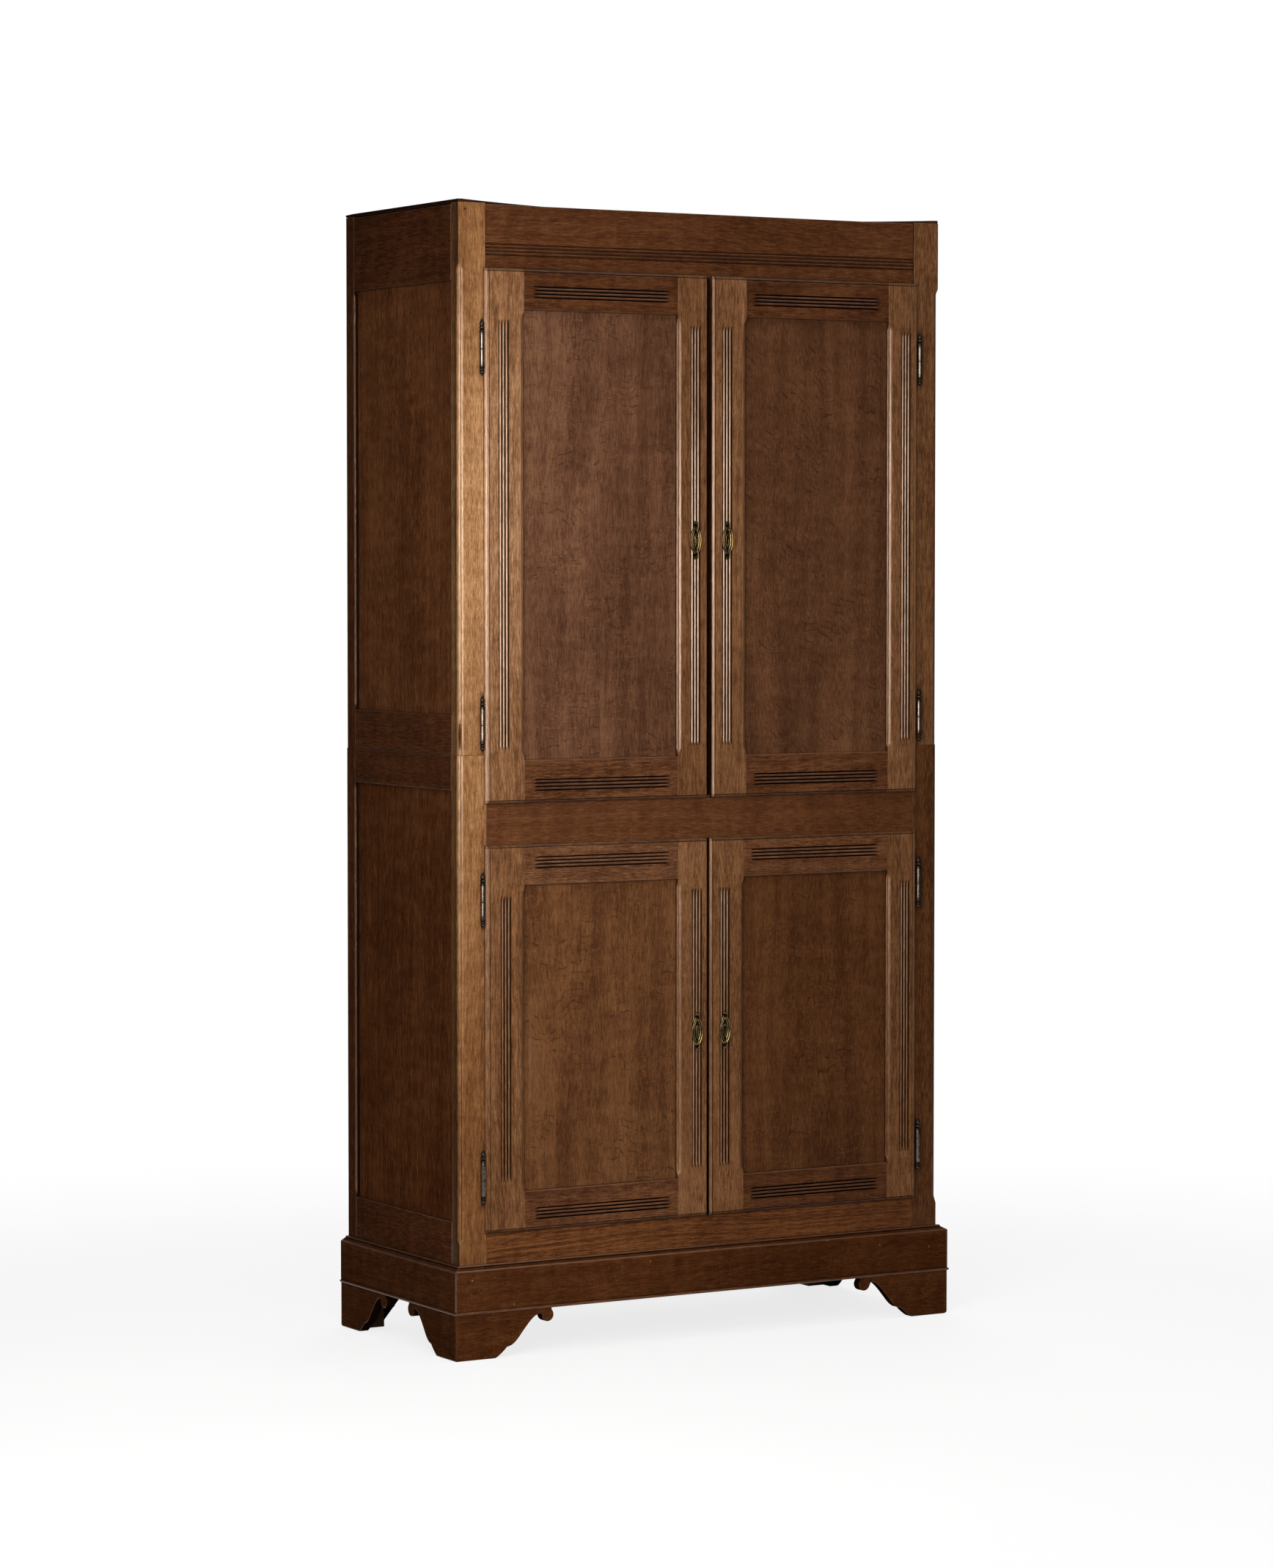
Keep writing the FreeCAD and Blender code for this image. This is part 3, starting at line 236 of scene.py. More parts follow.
def board(seed, origin, axes, size, cut=None, columns=(), rows=(), radius=0.7, back_cut=None, coats=1,
          polish=1, step=(16, 16), spots=(), hollow=0.16, warp=None, soil=0.85):
    """A board as a slab: the face is depth(across, along) under its plane, the back lies behind it.

    axes are the directions across, into and along the board; size is its width, thickness and length.
    cut gives layers of depth, grime with painted shade, and wear; every edge is rounded over a radius that
    varies slowly, and the rim and back are darkened as painted shade. coats of stain, whose tables in places
    also paint light and shade, and the polish of worn places, which pales the colour partly as a painted
    highlight, are numbers or tables along the board.
    spots are pits or stains, each (across, along, half width, half length, depth, darkening); below 0 a spot
    is made paler and glossier instead.
    """
    width, thick, length = size
    lines = []
    for k, (reach, extra) in enumerate(((width, columns), (length, rows))):
        places = stations(ROUND_STEPS * radius, reach - ROUND_STEPS * radius, spaced(0, reach, step[k]),
                          *extra, *[spot[k] + spot[k + 2] * np.linspace(-1.8, 1.8, 9) for spot in spots])
        lines.append(places[(places >= 0) & (places <= reach)])
    u, v = np.meshgrid(*lines)
    if warp is not None:
        u = warp(u, v)
    edges = [u, width - u, v, length - v]
    reach = radius * (0.75 + 0.5 * wander(u, v, seed + 7, 40, 55))
    layers = [arris(edge, reach, soil) for edge in edges]
    if cut is not None:
        layers += cut(u, v)
    # A spot with a negative darkening is made paler and glossier instead.
    rubbed = 0 * u
    for spot_u, spot_v, half_u, half_v, pit, dirt in spots:
        away = ((u - spot_u) / half_u) ** 2 + ((v - spot_v) / half_v) ** 2
        layers.append((pit * np.clip(1.3 - away, 0, 1), max(dirt, 0) * np.exp(-away ** 1.5), 0 * u))
        rubbed = np.maximum(rubbed, max(-dirt, 0) * np.exp(-away))
    depth, grime, worn = deepest(layers)
    worn = np.maximum(worn * along_board(polish, v), rubbed)
    behind = np.full_like(u, thick) if back_cut is None else back_cut(u, v)
    behind = behind - np.maximum.reduce([arris(edge, reach)[0] for edge in edges])
    across, into, along = axes

    def sheet(d, grime_here, worn_here):
        return (placed(origin, (u, across), (v, along), (d, into)), in_log(seed, u, d, v),
                stacked(grime_here, worn_here, along_board(coats, v)))
    # Painted shade: the rim is darkened nearly as much as the joints, and the back a little.
    hidden = np.where(np.minimum.reduce(edges) < 0.1, 0.7 * soil, 0.12)
    return slab(sheet(depth + hollow * wander(u, v, seed), grime, worn), sheet(behind, hidden, 0 * u))


# ---------------------------------------------------------------- finishes

def stain(colour, share=1):
    """A colour given in screen values from 0 to 255, all times a share, as linear light."""
    value = np.minimum(np.array(colour) * share, 255) / 255
    linear = np.where(value <= 0.04045, value / 12.92, ((value + 0.055) / 1.055) ** 2.4)
    return (*linear.tolist(), 1)


class Tree:
    """Shader nodes under construction: added by kind and fed numbers, colours or other nodes' outputs."""

    def __init__(self, owner):
        owner.use_nodes = True
        self.nodes, self.links = owner.node_tree.nodes, owner.node_tree.links
        self.nodes.clear()

    def feed(self, node, feeds):
        """Links outputs to the node's sockets and sets the others."""
        for key, value in feeds.items():
            if isinstance(value, bpy.types.NodeSocket):
                self.links.new(value, node.inputs[key])
            else:
                node.inputs[key].default_value = value

    def add(self, kind, feeds=None, **settings):
        node = self.nodes.new("ShaderNode" + kind)
        for key, value in settings.items():
            setattr(node, key, value)
        self.feed(node, feeds or {})
        return node

    def math(self, operation, a, b=0):
        return self.add("Math", {0: a, 1: b}, operation=operation).outputs[0]

    def plus(self, a, b):
        return self.math("ADD", a, b)

    def minus(self, a, b):
        return self.math("SUBTRACT", a, b)

    def times(self, a, b):
        return self.math("MULTIPLY", a, b)

    def vector(self, operation, a, b):
        return self.add("VectorMath", {0: a, 1: b}, operation=operation).outputs[0]

    def joined(self, **parts):
        return self.add("CombineXYZ", {key.upper(): part for key, part in parts.items()}).outputs[0]

    def noise(self, where, across, along, detail=3, rough=0.55, twist=0):
        """Cloud noise with its own number of cells to the metre across the grain and along it."""
        scaled = self.vector("MULTIPLY", where, (across, across, along))
        return self.add("TexNoise", {"Vector": scaled, "Scale": 1, "Detail": detail, "Roughness": rough,
                                     "Distortion": twist}).outputs[0]

    def spread(self, value, low, high, to_low=0, to_high=1):
        """The value's range low..high laid over to_low..to_high with soft ends."""
        return self.add("MapRange", {0: value, 1: low, 2: high, 3: to_low, 4: to_high},
                        interpolation_type="SMOOTHSTEP").outputs[0]

    def blend(self, amount, a, b):
        return self.add("Mix", {0: amount, 6: a, 7: b}, data_type="RGBA").outputs[2]

    def ramp(self, value, *stops):
        """Colours at three values, straight between them."""
        node = self.add("ValToRGB", {0: value})
        marks = node.color_ramp.elements
        marks.new(0.5)
        for mark, (place, colour) in zip(marks, stops):
            mark.position, mark.color = place, stain(colour)
        return node.outputs[0]

    def attribute(self, name):
        return self.add("Attribute", attribute_name=name).outputs["Vector"]

    def object_place(self):
        return self.add("TexCoord").outputs["Object"]

    def split(self, vector):
        return self.add("SeparateXYZ", {0: vector}).outputs


class Finish(Tree):
    """A material whose output shows one principled shader."""

    def __init__(self, name):
        self.material = bpy.data.materials.new(name)
        super().__init__(self.material)
        self.shader = self.add("BsdfPrincipled")
        self.output = self.add("OutputMaterial", {0: self.shader.outputs[0]})

    def surface(self, colour, roughness, height, relief, distance, more):
        bump = self.add("Bump", {"Strength": relief, "Distance": distance, "Height": height}).outputs[0]
        self.feed(self.shader, {"Base Color": colour, "Roughness": roughness, "Normal": bump, **more})
        return self.material


LET_THROUGH = (0.27, 0.19, 0.13)
WARM_SHINE = (1, 0.83, 0.70, 1)
# The first colour is the near black that grime and painted shade darken towards.
DIRT, DENT = (7, 4, 2), (150, 118, 88)


def oak(name, deep, body, pale, contrast=1, pores=0.3, rays=0, slant=0, silver=0, cloud=0.25, band=0.25,
        growth=0.6, pitch=85, dents=0, fibre=1, roughness=0.38, shine=0.1, lie=None):
    """Stained oak: growth lines, streaks, open pores, medullary rays, uneven stain, grime and painted shade,
    and polish that pales the colour a little, partly as a painted highlight.

    Boards carry their own grain coordinate, and a finish of grime and painted shade, polish, and coats of
    stain whose tables in places also paint light and shade; lie names the object axes (across, into, along)
    for a solid that has none. The colours are those under one coat of stain; each further coat lets
    LET_THROUGH of the light through. fibre above 1 shortens the grain.
    """
    f = Finish(name)
    if lie is None:
        where = f.attribute("grain")
        grime, polish, coats = f.split(f.attribute("finish"))
    else:
        axes = f.split(f.object_place())
        where = f.joined(**{key: axes[axis] for key, axis in zip("xyz", lie)})
    drift = f.noise(where, 7, 1.1, 2)
    bent = f.vector("ADD", where, f.joined(x=f.spread(drift, 0.2, 0.8, -0.014, 0.014)))
    rings = f.noise(bent, pitch, 2.4, 4, 0.6, 0.2)
    streaks = f.noise(bent, 460, 46 * fibre, 3, 0.62)
    hairs = f.noise(bent, 1400, 170 * fibre, 2)
    dashes = f.spread(f.noise(bent, 900, 90 * fibre, 1, 0.4), 0.58, 0.70)
    patches = f.noise(where, 8, 3.6, 3, 0.6)
    bands = f.noise(where, 13, 42, 3, 0.6)
    value = 0.5
    for layer, weight in ((rings, growth * contrast), (streaks, 1.5 * contrast), (hairs, 0.9 * contrast),
                          (patches, 2 * cloud), (bands, 2 * band)):
        value = f.plus(f.times(f.minus(layer, 0.5), weight), value)
    colour = f.ramp(value, (0.15, deep), (0.5, body), (0.85, pale))
    early = f.times(dashes, f.spread(rings, 0.62, 0.40, 0.25, 1))
    colour = f.blend(f.times(early, pores), colour, stain(deep, 0.35))
    if rays:
        u, _, v = f.split(where)
        level = f.times(f.plus(v, f.times(u, slant)), 70)
        level = f.plus(level, f.times(f.noise(where, 10, 6, 2), 9))
        level = f.plus(level, f.times(f.noise(where, 90, 40, 1), 0.7))
        line = f.math("ABSOLUTE", f.minus(f.math("FRACT", level), 0.5))
        zone = f.spread(f.noise(where, 13, 15, 2), 0.46, 0.62)
        broken = f.spread(f.noise(where, 70, 120, 1), 0.42, 0.58)
        ray = f.times(f.spread(line, 0.01, 0.16, 1, 0), f.times(zone, broken))
        colour = f.blend(f.times(ray, rays), colour, stain(deep, 0.6))
    if silver:
        chips = f.spread(f.noise(bent, 130, 300, 1.5, 0.5, 0.4), 0.56, 0.68)
        patch = f.spread(f.noise(where, 16, 12, 2), 0.42, 0.60)
        colour = f.blend(f.times(f.times(chips, patch), silver), colour, stain(pale, 1.2))
    if dents:
        u, _, v = f.split(where)
        cell = f.add("TexVoronoi", {"Vector": f.joined(x=u, y=v), "Scale": 10},
                     voronoi_dimensions="2D")
        dot = f.spread(cell.outputs["Distance"], 0.010, 0.020, 1, 0)
        colour = f.blend(f.times(dot, dents), colour, stain(DENT))
    gloss = f.plus(f.plus(f.times(streaks, 0.12), f.times(patches, 0.14)), roughness - 0.13)
    if lie is None:
        through = f.add("Gamma", {0: (*LET_THROUGH, 1), 1: coats}).outputs[0]
        through = f.vector("MULTIPLY", through, [1 / share for share in LET_THROUGH])
        colour = f.vector("MULTIPLY", colour, through)
        # Polish pales the colour a little: partly rubbed wear, partly a painted highlight along the mouldings
        # and arrises.
        colour = f.blend(f.times(polish, 0.2), colour, stain(pale, 1.3))
        # Grime and painted shade darken the colour towards near black in quirks, gaps, joints and rims.
        colour = f.blend(f.times(grime, f.spread(patches, 0.2, 0.7, 0.85, 1)), colour, stain(DIRT))
        rubbing = f.times(polish, f.spread(streaks, 0.35, 0.65, 0.6, 1))
        clean = f.times(f.minus(1, grime), shine)
        more = {"Specular IOR Level": f.plus(clean, f.times(rubbing, 1.9)), "Specular Tint": WARM_SHINE}
        gloss = f.plus(gloss, f.times(polish, f.minus(0.29, gloss)))
    else:
        more = {"Specular IOR Level": shine}
    relief = f.minus(f.times(hairs, 0.3), f.times(early, 0.6))
    relief = f.plus(relief, f.times(streaks, 0.45))
    return f.surface(colour, gloss, relief, 0.45, 0.0005, more)


def metal(name, dark, body, bright, roughness):
    """Old metal: a dull skin in the hollows, rubbed bright on the crests, mottled and finely scratched."""
    f = Finish(name)
    where = f.object_place()
    grime, worn, _ = f.split(f.attribute("finish"))
    cloud = f.noise(where, 240, 240, 4, 0.65)
    speck = f.noise(where, 1500, 1500, 2)
    scratch = f.noise(where, 2600, 160, 2)
    colour = f.blend(f.spread(cloud, 0.35, 0.65), stain(dark), stain(body))
    colour = f.blend(f.times(worn, f.spread(cloud, 0.25, 0.6, 0.5, 1)), colour, stain(bright))
    colour = f.blend(f.times(grime, 0.9), colour, stain((14, 10, 6)))
    gloss = f.plus(f.plus(f.times(cloud, 0.3), roughness - 0.15), f.times(grime, 0.3))
    gloss = f.minus(gloss, f.times(worn, 0.12))
    height = f.plus(f.times(speck, 0.5), f.times(scratch, 0.4))
    return f.surface(colour, gloss, height, 0.4, 0.0002, {"Metallic": 1})


QUARTERED = dict(contrast=0.85, growth=1.1, pitch=30, pores=0.2, rays=0.6, silver=0.25, fibre=1.3)
DULL = dict(roughness=0.42, shine=0)
INSIDE = dict(contrast=1.2, pores=0.5, roughness=0.6, shine=0.2, cloud=0.3)
POST_OAK = oak("post_oak", (126, 85, 52), (168, 123, 82), (202, 158, 112), contrast=1.1, band=0.3)
RAIL_OAK = oak("rail_oak", (66, 36, 18), (88, 52, 29), (110, 70, 42))
DOOR_OAK = oak("door_oak", (90, 58, 35), (124, 85, 55), (156, 114, 79), contrast=1.1, band=0.2, silver=0.05)
DOOR_RAIL_OAK = oak("door_rail_oak", (56, 30, 15), (84, 50, 29), (110, 70, 42), rays=0.3, cloud=0.45)
LINED_OAK = oak("lined_oak", (60, 31, 13), (90, 51, 25), (114, 70, 37), growth=1.8, pitch=210, shine=0.08)
PANEL_OAK = oak("panel_oak", (72, 44, 29), (97, 64, 45), (122, 85, 61), **QUARTERED)
LOW_PANEL_OAK = oak("low_panel_oak", (72, 42, 23), (100, 64, 38), (124, 84, 52), **QUARTERED)
FEATHER_OAK = oak("feather_oak", (72, 44, 28), (98, 64, 43), (124, 86, 60),
                  **{**QUARTERED, "rays": 0.7, "slant": 0.75, "silver": 0.2})
# The side and plinth side finishes are darker than the front ones: partly a darker stain, partly painted
# shade for the sides, which take less light.
SIDE_OAK = oak("side_oak", (44, 24, 14), (63, 35, 20), (82, 49, 29), **DULL)
SIDE_PANEL_OAK = oak("side_panel_oak", (53, 28, 14), (75, 43, 23), (99, 61, 35), cloud=0.35, **DULL)
PLINTH_OAK = oak("plinth_oak", (54, 28, 13), (76, 43, 22), (98, 60, 33), contrast=0.8, silver=0.4,
                 dents=0.7, **DULL)
PLINTH_SIDE_OAK = oak("plinth_side_oak", (45, 24, 13), (63, 36, 20), (82, 50, 29), contrast=0.8,
                      silver=0.2, **DULL)
BACK_OAK = oak("back_oak", (70, 46, 28), (104, 74, 48), (138, 104, 72), **INSIDE)
TURNED_STEEL = metal("turned_steel", (22, 16, 13), (44, 34, 28), (140, 126, 114), 0.36)
AGED_BRASS = metal("aged_brass", (26, 20, 11), (62, 50, 30), (176, 150, 100), 0.34)


# ---------------------------------------------------------------- door mouldings

# In these sections the grime is partly painted shade, in quirks and on flanks beside the gaps, and the wear
# pales the colour partly as a painted highlight.
LIP = Moulding([(0, 5.6, 0.9, 0), (0.3, 4.8, 0.3, 0.3)], bow((0.5, 4.6), (8, 0.5), 1.1),
               [(8.3, 1.3, 0.9, 0), (9.1, 1.3, 0.9, 0), (9.5, 0.15, 0.1, 0.7), (10.4, 0, 0, 0)])
# The meeting lip's outer flank, seen down the gap between the doors, is painted near black as shade.
MEETING_LIP = Moulding([(0, 5.6, 1, 0), (0.3, 5.3, 1, 0), (1.9, 4.5, 1, 0), (2.6, 3.9, 0.8, 0),
                        (2.9, 3.6, 0.1, 0.5)], bow((3.1, 3.4), (7, 0.5), 0.6),
                       [(7.3, 1.3, 0.95, 0), (8.3, 1.3, 0.95, 0), (8.8, 0.1, 0.1, 0.4), (9.6, 0, 0, 0)])
# Painted shade on the plain meeting edge, in the gap between the doors.
DARK_EDGE = Moulding([(0, 0.9, 1, 0), (1.2, 0.5, 1, 0), (2.4, 0.05, 0.1, 0.3), (3.2, 0, 0, 0)])
# The rail lip is darkened all over, partly soil and partly painted shade, so that no light shows along it.
RAIL_LIP = Moulding([(0, 5.4, 0.45, 0), (0.25, 4.9, 0.45, 0.6)], bow((0.4, 4.7), (4.6, 0.5), 1, 0.45),
                    [(4.9, 1.2, 0.9, 0), (5.5, 1.2, 0.9, 0), (5.9, 0.1, 0.1, 0.6), (6.8, 0, 0, 0)])
INNER = Moulding([(0, 5.2, 0.6, 0), (0.45, 4.6, 0, 0.7), (1.5, 3.9, 0, 1), (2.2, 3.7, 0.3, 0.2),
                  (2.6, 3.8, 0.75, 0), (3, 3.6, 0.5, 0)], bow((3.2, 3.4), (7.6, 0), 0.7), [(8.3, 0, 0, 0)])
# Its wear pales a thin line along the chamfer as a painted highlight.
RAIL_INNER = Moulding([(0, 4.9, 0.5, 0), (0.3, 4, 0.3, 0.3), (0.9, 2.2, 0, 1), (1.9, 0.3, 0, 1),
                       (2.5, 0, 0, 0.4), (3.2, 0, 0, 0)])
EDGES = {"lipped": LIP, "meeting": MEETING_LIP, "plain": DARK_EDGE, "rail": RAIL_LIP}
REED_PITCH, REED_DEPTH, QUIRK, ARCH = 6.2, 2.7, 1.2, 1.4


def reed_bank():
    """Four flat-bottomed quirks with three reeds between, ridged along the crest.

    A reed's depth at t of its half width from the crest is ARCH t^1.2; its foot drops straight to the quirk.
    The quirks and the reeds' lower flanks are darkened as painted shade.
    """
    half, edge = REED_PITCH / 2, 1.5 * REED_PITCH + QUIRK + 0.1
    across = np.array([-0.97, -0.8, -0.55, -0.3, -0.1, 0, 0.1, 0.3, 0.55, 0.8, 0.97])
    t = np.abs(across)
    reed = np.column_stack([half + (half - QUIRK) * across, ARCH * t ** 1.2, 0.8 * t ** 4, 1 - 0.5 * t ** 4])
    quirk = np.array([(-QUIRK, REED_DEPTH, 1, 0), (QUIRK, REED_DEPTH, 1, 0)])
    knots = [row + (REED_PITCH * k, 0, 0, 0) for k in (-1.5, -0.5, 0.5) for row in (*quirk, *reed)]
    return Moulding([(-edge, 0, 0, 0.5)], knots, quirk + (1.5 * REED_PITCH, 0, 0, 0), [(edge, 0, 0, 0.5)])


REEDS = reed_bank()
RUN_OUT = 8.0
RUN_STEPS = RUN_OUT * np.array([0, 0.06, 0.16, 0.3, 0.5, 0.75, 1])


def reeds(distance, v, start, end):
    """The reed bank between two places along a member; its cutter lifts out over the last few millimetres."""
    depth, grime, worn = REEDS.at(distance)
    let_in = np.clip(np.minimum(v - start, end - v) / RUN_OUT, 0, 1) ** 0.8
    left = np.maximum(0, depth - REED_DEPTH * (1 - let_in))
    # The painted shade in the quirks thins where the cutter lifts out.
    return left, grime * (left / REED_DEPTH) ** 0.5 * (let_in > 0), worn * let_in


def dulled(layer):
    """The same cut with little polish, for mouldings that lie level and are never rubbed."""
    return layer[0], layer[1], 0.12 * layer[2]


def tongue_steps(run, length):
    """Grid lines where a moulding fades in and out in lamb's tongues at both ends of its run."""
    t = length * np.linspace(0, 1, 8)
    return np.concatenate([run[0] + t, run[1] - length + t])


def member(seed, origin, way, along, width, length, edge, reed_middle, reed_run, inner_run, coats,
           polish=1, spots=(), keyhole=None, channels=()):
    """A stile or rail: a moulded outer edge, reeds down the middle and a moulding beside the panel.

    way and along are the directions across the face and along the member; reed_run and inner_run are start
    and end along it. channels are the runs along the back where a sliding bolt is let in.
    """
    rail = edge == "rail"
    tongue = 10 if rail else 13
    eye, slot = 2.9, 9

    def cut(u, v):
        layers = [reeds(u - reed_middle, v, *reed_run), EDGES[edge].at(u)]
        if rail:
            return [dulled(layer) for layer in layers] + [RAIL_INNER.at(width - u)]
        grown = ease(np.minimum(v - inner_run[0], inner_run[1] - v) / tongue)
        layers += [INNER.at(width - u, grown), dulled(RAIL_LIP.at(v)), dulled(RAIL_LIP.at(length - v))]
        if keyhole is not None:
            inside = (np.abs(u - reed_middle) < eye) & (np.abs(v - keyhole) < slot)
            # The keyhole's inside is darkened fully as painted shade.
            layers.append((12 * inside, 1 * inside, 0 * u))
        return layers

    def back_cut(u, v):
        rebate = (u < REBATE) & (edge in ("lipped", "rail"))
        if not rail:
            rebate |= (v < REBATE) | (v > length - REBATE)
        behind = np.where(rebate, LIP_BACK, DOOR_THICK)
        for low, high in channels:
            let_in = (np.abs(u - BOLT_INSET) < BOLT_HALF) & (v > low) & (v < high)
            behind = np.where(let_in, np.minimum(behind, BOLT_ROOM - DOOR_FACE), behind)
        return behind
    columns = [reed_middle + REEDS.place, width - (RAIL_INNER if rail else INNER).place,
               both_sides(REBATE, gap=0.04), spaced(0, width, 9), EDGES[edge].place]
    rows = [reed_run[0] + RUN_STEPS, reed_run[1] - RUN_STEPS, tongue_steps(inner_run, tongue)]
    if not rail:
        rows += [RAIL_LIP.place, length - RAIL_LIP.place, both_sides(REBATE, length - REBATE, gap=0.04)]
    for channel in channels:
        columns.append(both_sides(BOLT_INSET - BOLT_HALF, BOLT_INSET + BOLT_HALF))
        rows.append(both_sides(*channel))
    if keyhole is not None:
        columns.append(both_sides(reed_middle - eye, reed_middle + eye))
        rows.append(both_sides(keyhole - slot, keyhole + slot))
    return board(seed, origin, (way, BACKWARD, along), (width, DOOR_THICK, length), cut, columns, rows, 0.6,
                 back_cut, coats, polish, (16, 18), spots)


# ---------------------------------------------------------------- doors

# half width; case from bottom to top; side rails, low and high; where the hinges part; doors from bottom to
# top; widths of their top and bottom rails; height of their keyholes
STAGES = {
    "upper": dict(half=UPPER_HALF, span=(SEAM, TOP), low=(SEAM, 1119), high=(1867, RAIL_TOP),
                  hinges=(1100.5, 1748.5), door=(964.4, 1889.3), rails=(71.3, 75.6), lock=1421.6),
    "lower": dict(half=HALF, span=(FOOT, SEAM), low=(FOOT, 238), high=(988, SEAM),
                  hinges=(312.5, 794.5), door=(216.9, 893), rails=(72, 70.6), lock=548.6)}
STILES = {"left": (77, 61.4), "right": (72.4, 64.4)}
DOORS = {
    "upper_left_door": dict(
        x=(-LIP_SIDE, -0.1), reeds=(36.8, 24.9, 39.9, 31.1), panel=PANEL_OAK, joints=(-216,), bolts=(70, 150),
        coats=({0: 1, 400: 0.7, 700: 0.76, 925: 1.1}, 1.22, 1.2, 0.85, 0.98, 1.05),
        polish=({0: 0.5, 141: 0.61, 280: 0.76, 508: 0.68, 600: 0.75, 692: 0.6, 784: 0.32},
                {0: 0.8, 141: 0.93, 325: 1.15, 508: 1, 600: 0.87, 692: 0.42}),
        spots=((), [(12, 662, 6, 26, 0, 0.4), (5.5, 562, 2, 4, 0.5, 0.6)], ())),
    "upper_right_door": dict(
        x=(8.4, LIP_SIDE), reeds=(32.6, 26.4, 39.9, 31.1), panel=FEATHER_OAK,
        coats=(1.1, 1.12, 1.2, 0.98, {0: 1.1, 250: 1.15, 780: 1.26}),
        polish=({0: 0.6, 141: 0.66, 325: 0.92, 600: 0.95, 692: 0.68, 784: 0.35},
                {0: 0.65, 141: 0.68, 233: 0.88, 416: 0.91, 600: 1.04, 692: 0.83, 784: 0.55}),
        spots=([(41.6, 721.2, 1, 1.6, 0.6, 0.8), (44.7, 687.5, 1, 1.6, 0.6, 0.8)], (), ())),
    "lower_left_door": dict(
        x=(-LIP_SIDE, 0.4), reeds=(39.8, 21.8, 32.6, 29.4), panel=LOW_PANEL_OAK, bolts=(70, 70),
        coats=(1.12, 1.08, 0.55, 0.83, 1),
        polish=({0: 0.05, 300: 0.1, 600: 0.3}, {0: 0.35, 186: 0.42, 308: 0.58, 369: 0.4, 490: 0.42}),
        spots=((), (), [(16, 232, 2.6, 60, 0, -0.8), (178, 297, 1.3, 1.6, 0.4, 0.8)])),
    "lower_right_door": dict(
        x=(3.7, LIP_SIDE), reeds=(32.8, 26.4, 32.6, 33.5), panel=LOW_PANEL_OAK,
        coats=(1.15, 1.22, 0.75, 1.11, 1.25),
        polish=({0: 0.25, 186: 0.23, 270: 0.1, 400: 0.24, 490: 0.5},
                {0: 0.08, 125: 0.1, 247: 0.22, 369: 0.42, 490: 0.48, 676: 0.6}),
        spots=((), (), ()))}


def edge_shade(u, v):
    """Darkening that fades out over the first millimetres of a panel from its left edge."""
    return [(0 * u, 0.32 * np.exp(-(u / 9) ** 2), 0 * u)]


def dress_door(seed, name, x, reeds, panel, coats, polish, spots, joints=(), bolts=()):
    """Stiles, rails and panel of one door, each board a piece of its own; bolts are their lengths.

    reeds are the bank's distances from the edge on the left and right stile and the top and bottom rail;
    coats of stain, whose tables in places also paint light and shade, polish, and spots follow the same
    order, with the panel last.
    """
    reed_stop, inner_stop, bolt_room, rail_set = 17, 2, 9.4, 0.25
    stage, hand, _ = name.split("_")
    (z0, z1), (top, bottom), lock = (STAGES[stage][key] for key in ("door", "rails", "lock"))
    stiles, height, left = STILES[hand], z1 - z0, hand == "left"
    low, high = x[0] + stiles[0], x[1] - stiles[1]
    runs = [(bottom + gap, height - top - gap) for gap in (reed_stop, inner_stop)]
    for k, (side, way) in enumerate((("left", RIGHT), ("right", -RIGHT))):
        edge, fittings = "lipped", {}
        if left and side == "right":
            ends = (-1, bolts[1] + bolt_room), (height - bolts[0] - bolt_room, height + 1)
            edge, fittings = "plain", {"channels": ends}
        elif side == "left" and not left:
            edge, fittings = "meeting", {"keyhole": lock - z0}
        shell = member(seed + 1 + k, (x[k], DOOR_FACE, z0), way, UP, stiles[k], height, edge, reeds[k],
                       *runs, coats[k], polish[k], spots[k], **fittings)
        piece(f"{name}_{side}_stile_board", [shell], DOOR_OAK, "door_oak", name + "_stiles", body=name)
    run = high - low
    ends = (20, run - 16) if left else (16, run - 20)
    for k, (part, z, way, deep) in enumerate((("top", z1, -UP, top), ("bottom", z0, UP, bottom))):
        shell = member(seed + 3 + k, (low, DOOR_FACE + rail_set, z), way, RIGHT, deep, run, "rail",
                       reeds[2 + k], ends, (9, run - 9), coats[2 + k])
        piece(f"{name}_{part}_rail_board", [shell], DOOR_RAIL_OAK, "door_oak", name + "_rails", body=name)
    z0, z1 = z0 + bottom - TONGUE_IN, z1 - top + TONGUE_IN
    seams = [low - TONGUE_IN, *joints, high + TONGUE_IN]
    shells = [board(seed + 10 + k, (a, DOOR_FACE + PANEL_DEPTH, z0), (RIGHT, BACKWARD, UP),
                    (b - a, PANEL_THICK, z1 - z0), None if k else edge_shade, [[2, 4, 7, 10]],
                    coats=coats[4 + k], radius=0.2, hollow=0.5, step=(12, 16), spots=spots[2])
              for k, (a, b) in enumerate(zip(seams[:-1], seams[1:]))]
    piece(name + "_panel_boards", shells, panel, "panel_oak", name + "_panel", body=name)


for number, (name, details) in enumerate(DOORS.items()):
    dress_door(100 * number + 100, name, **details)


# ---------------------------------------------------------------- case, front

# The corner bead's quirks are darkened, partly grime and partly painted shade.
CORNER = Moulding([(0, 9, 0.2, 0), (0.2, 8.4, 0.2, 0.3), (0.8, 6.9, 0.8, 0)], bow((1, 6.4), (5, 2.3), 0.7),
                  [(5.3, 2.3, 0.6, 0.2), (5.8, 2.3, 0.9, 0), (6.2, 2, 0.3, 0.5), (6.5, 1.8, 0, 1),
                   (8.2, 0.55, 0, 1), (9.2, 0.1, 0, 0.6), (10, 0, 0, 0)])


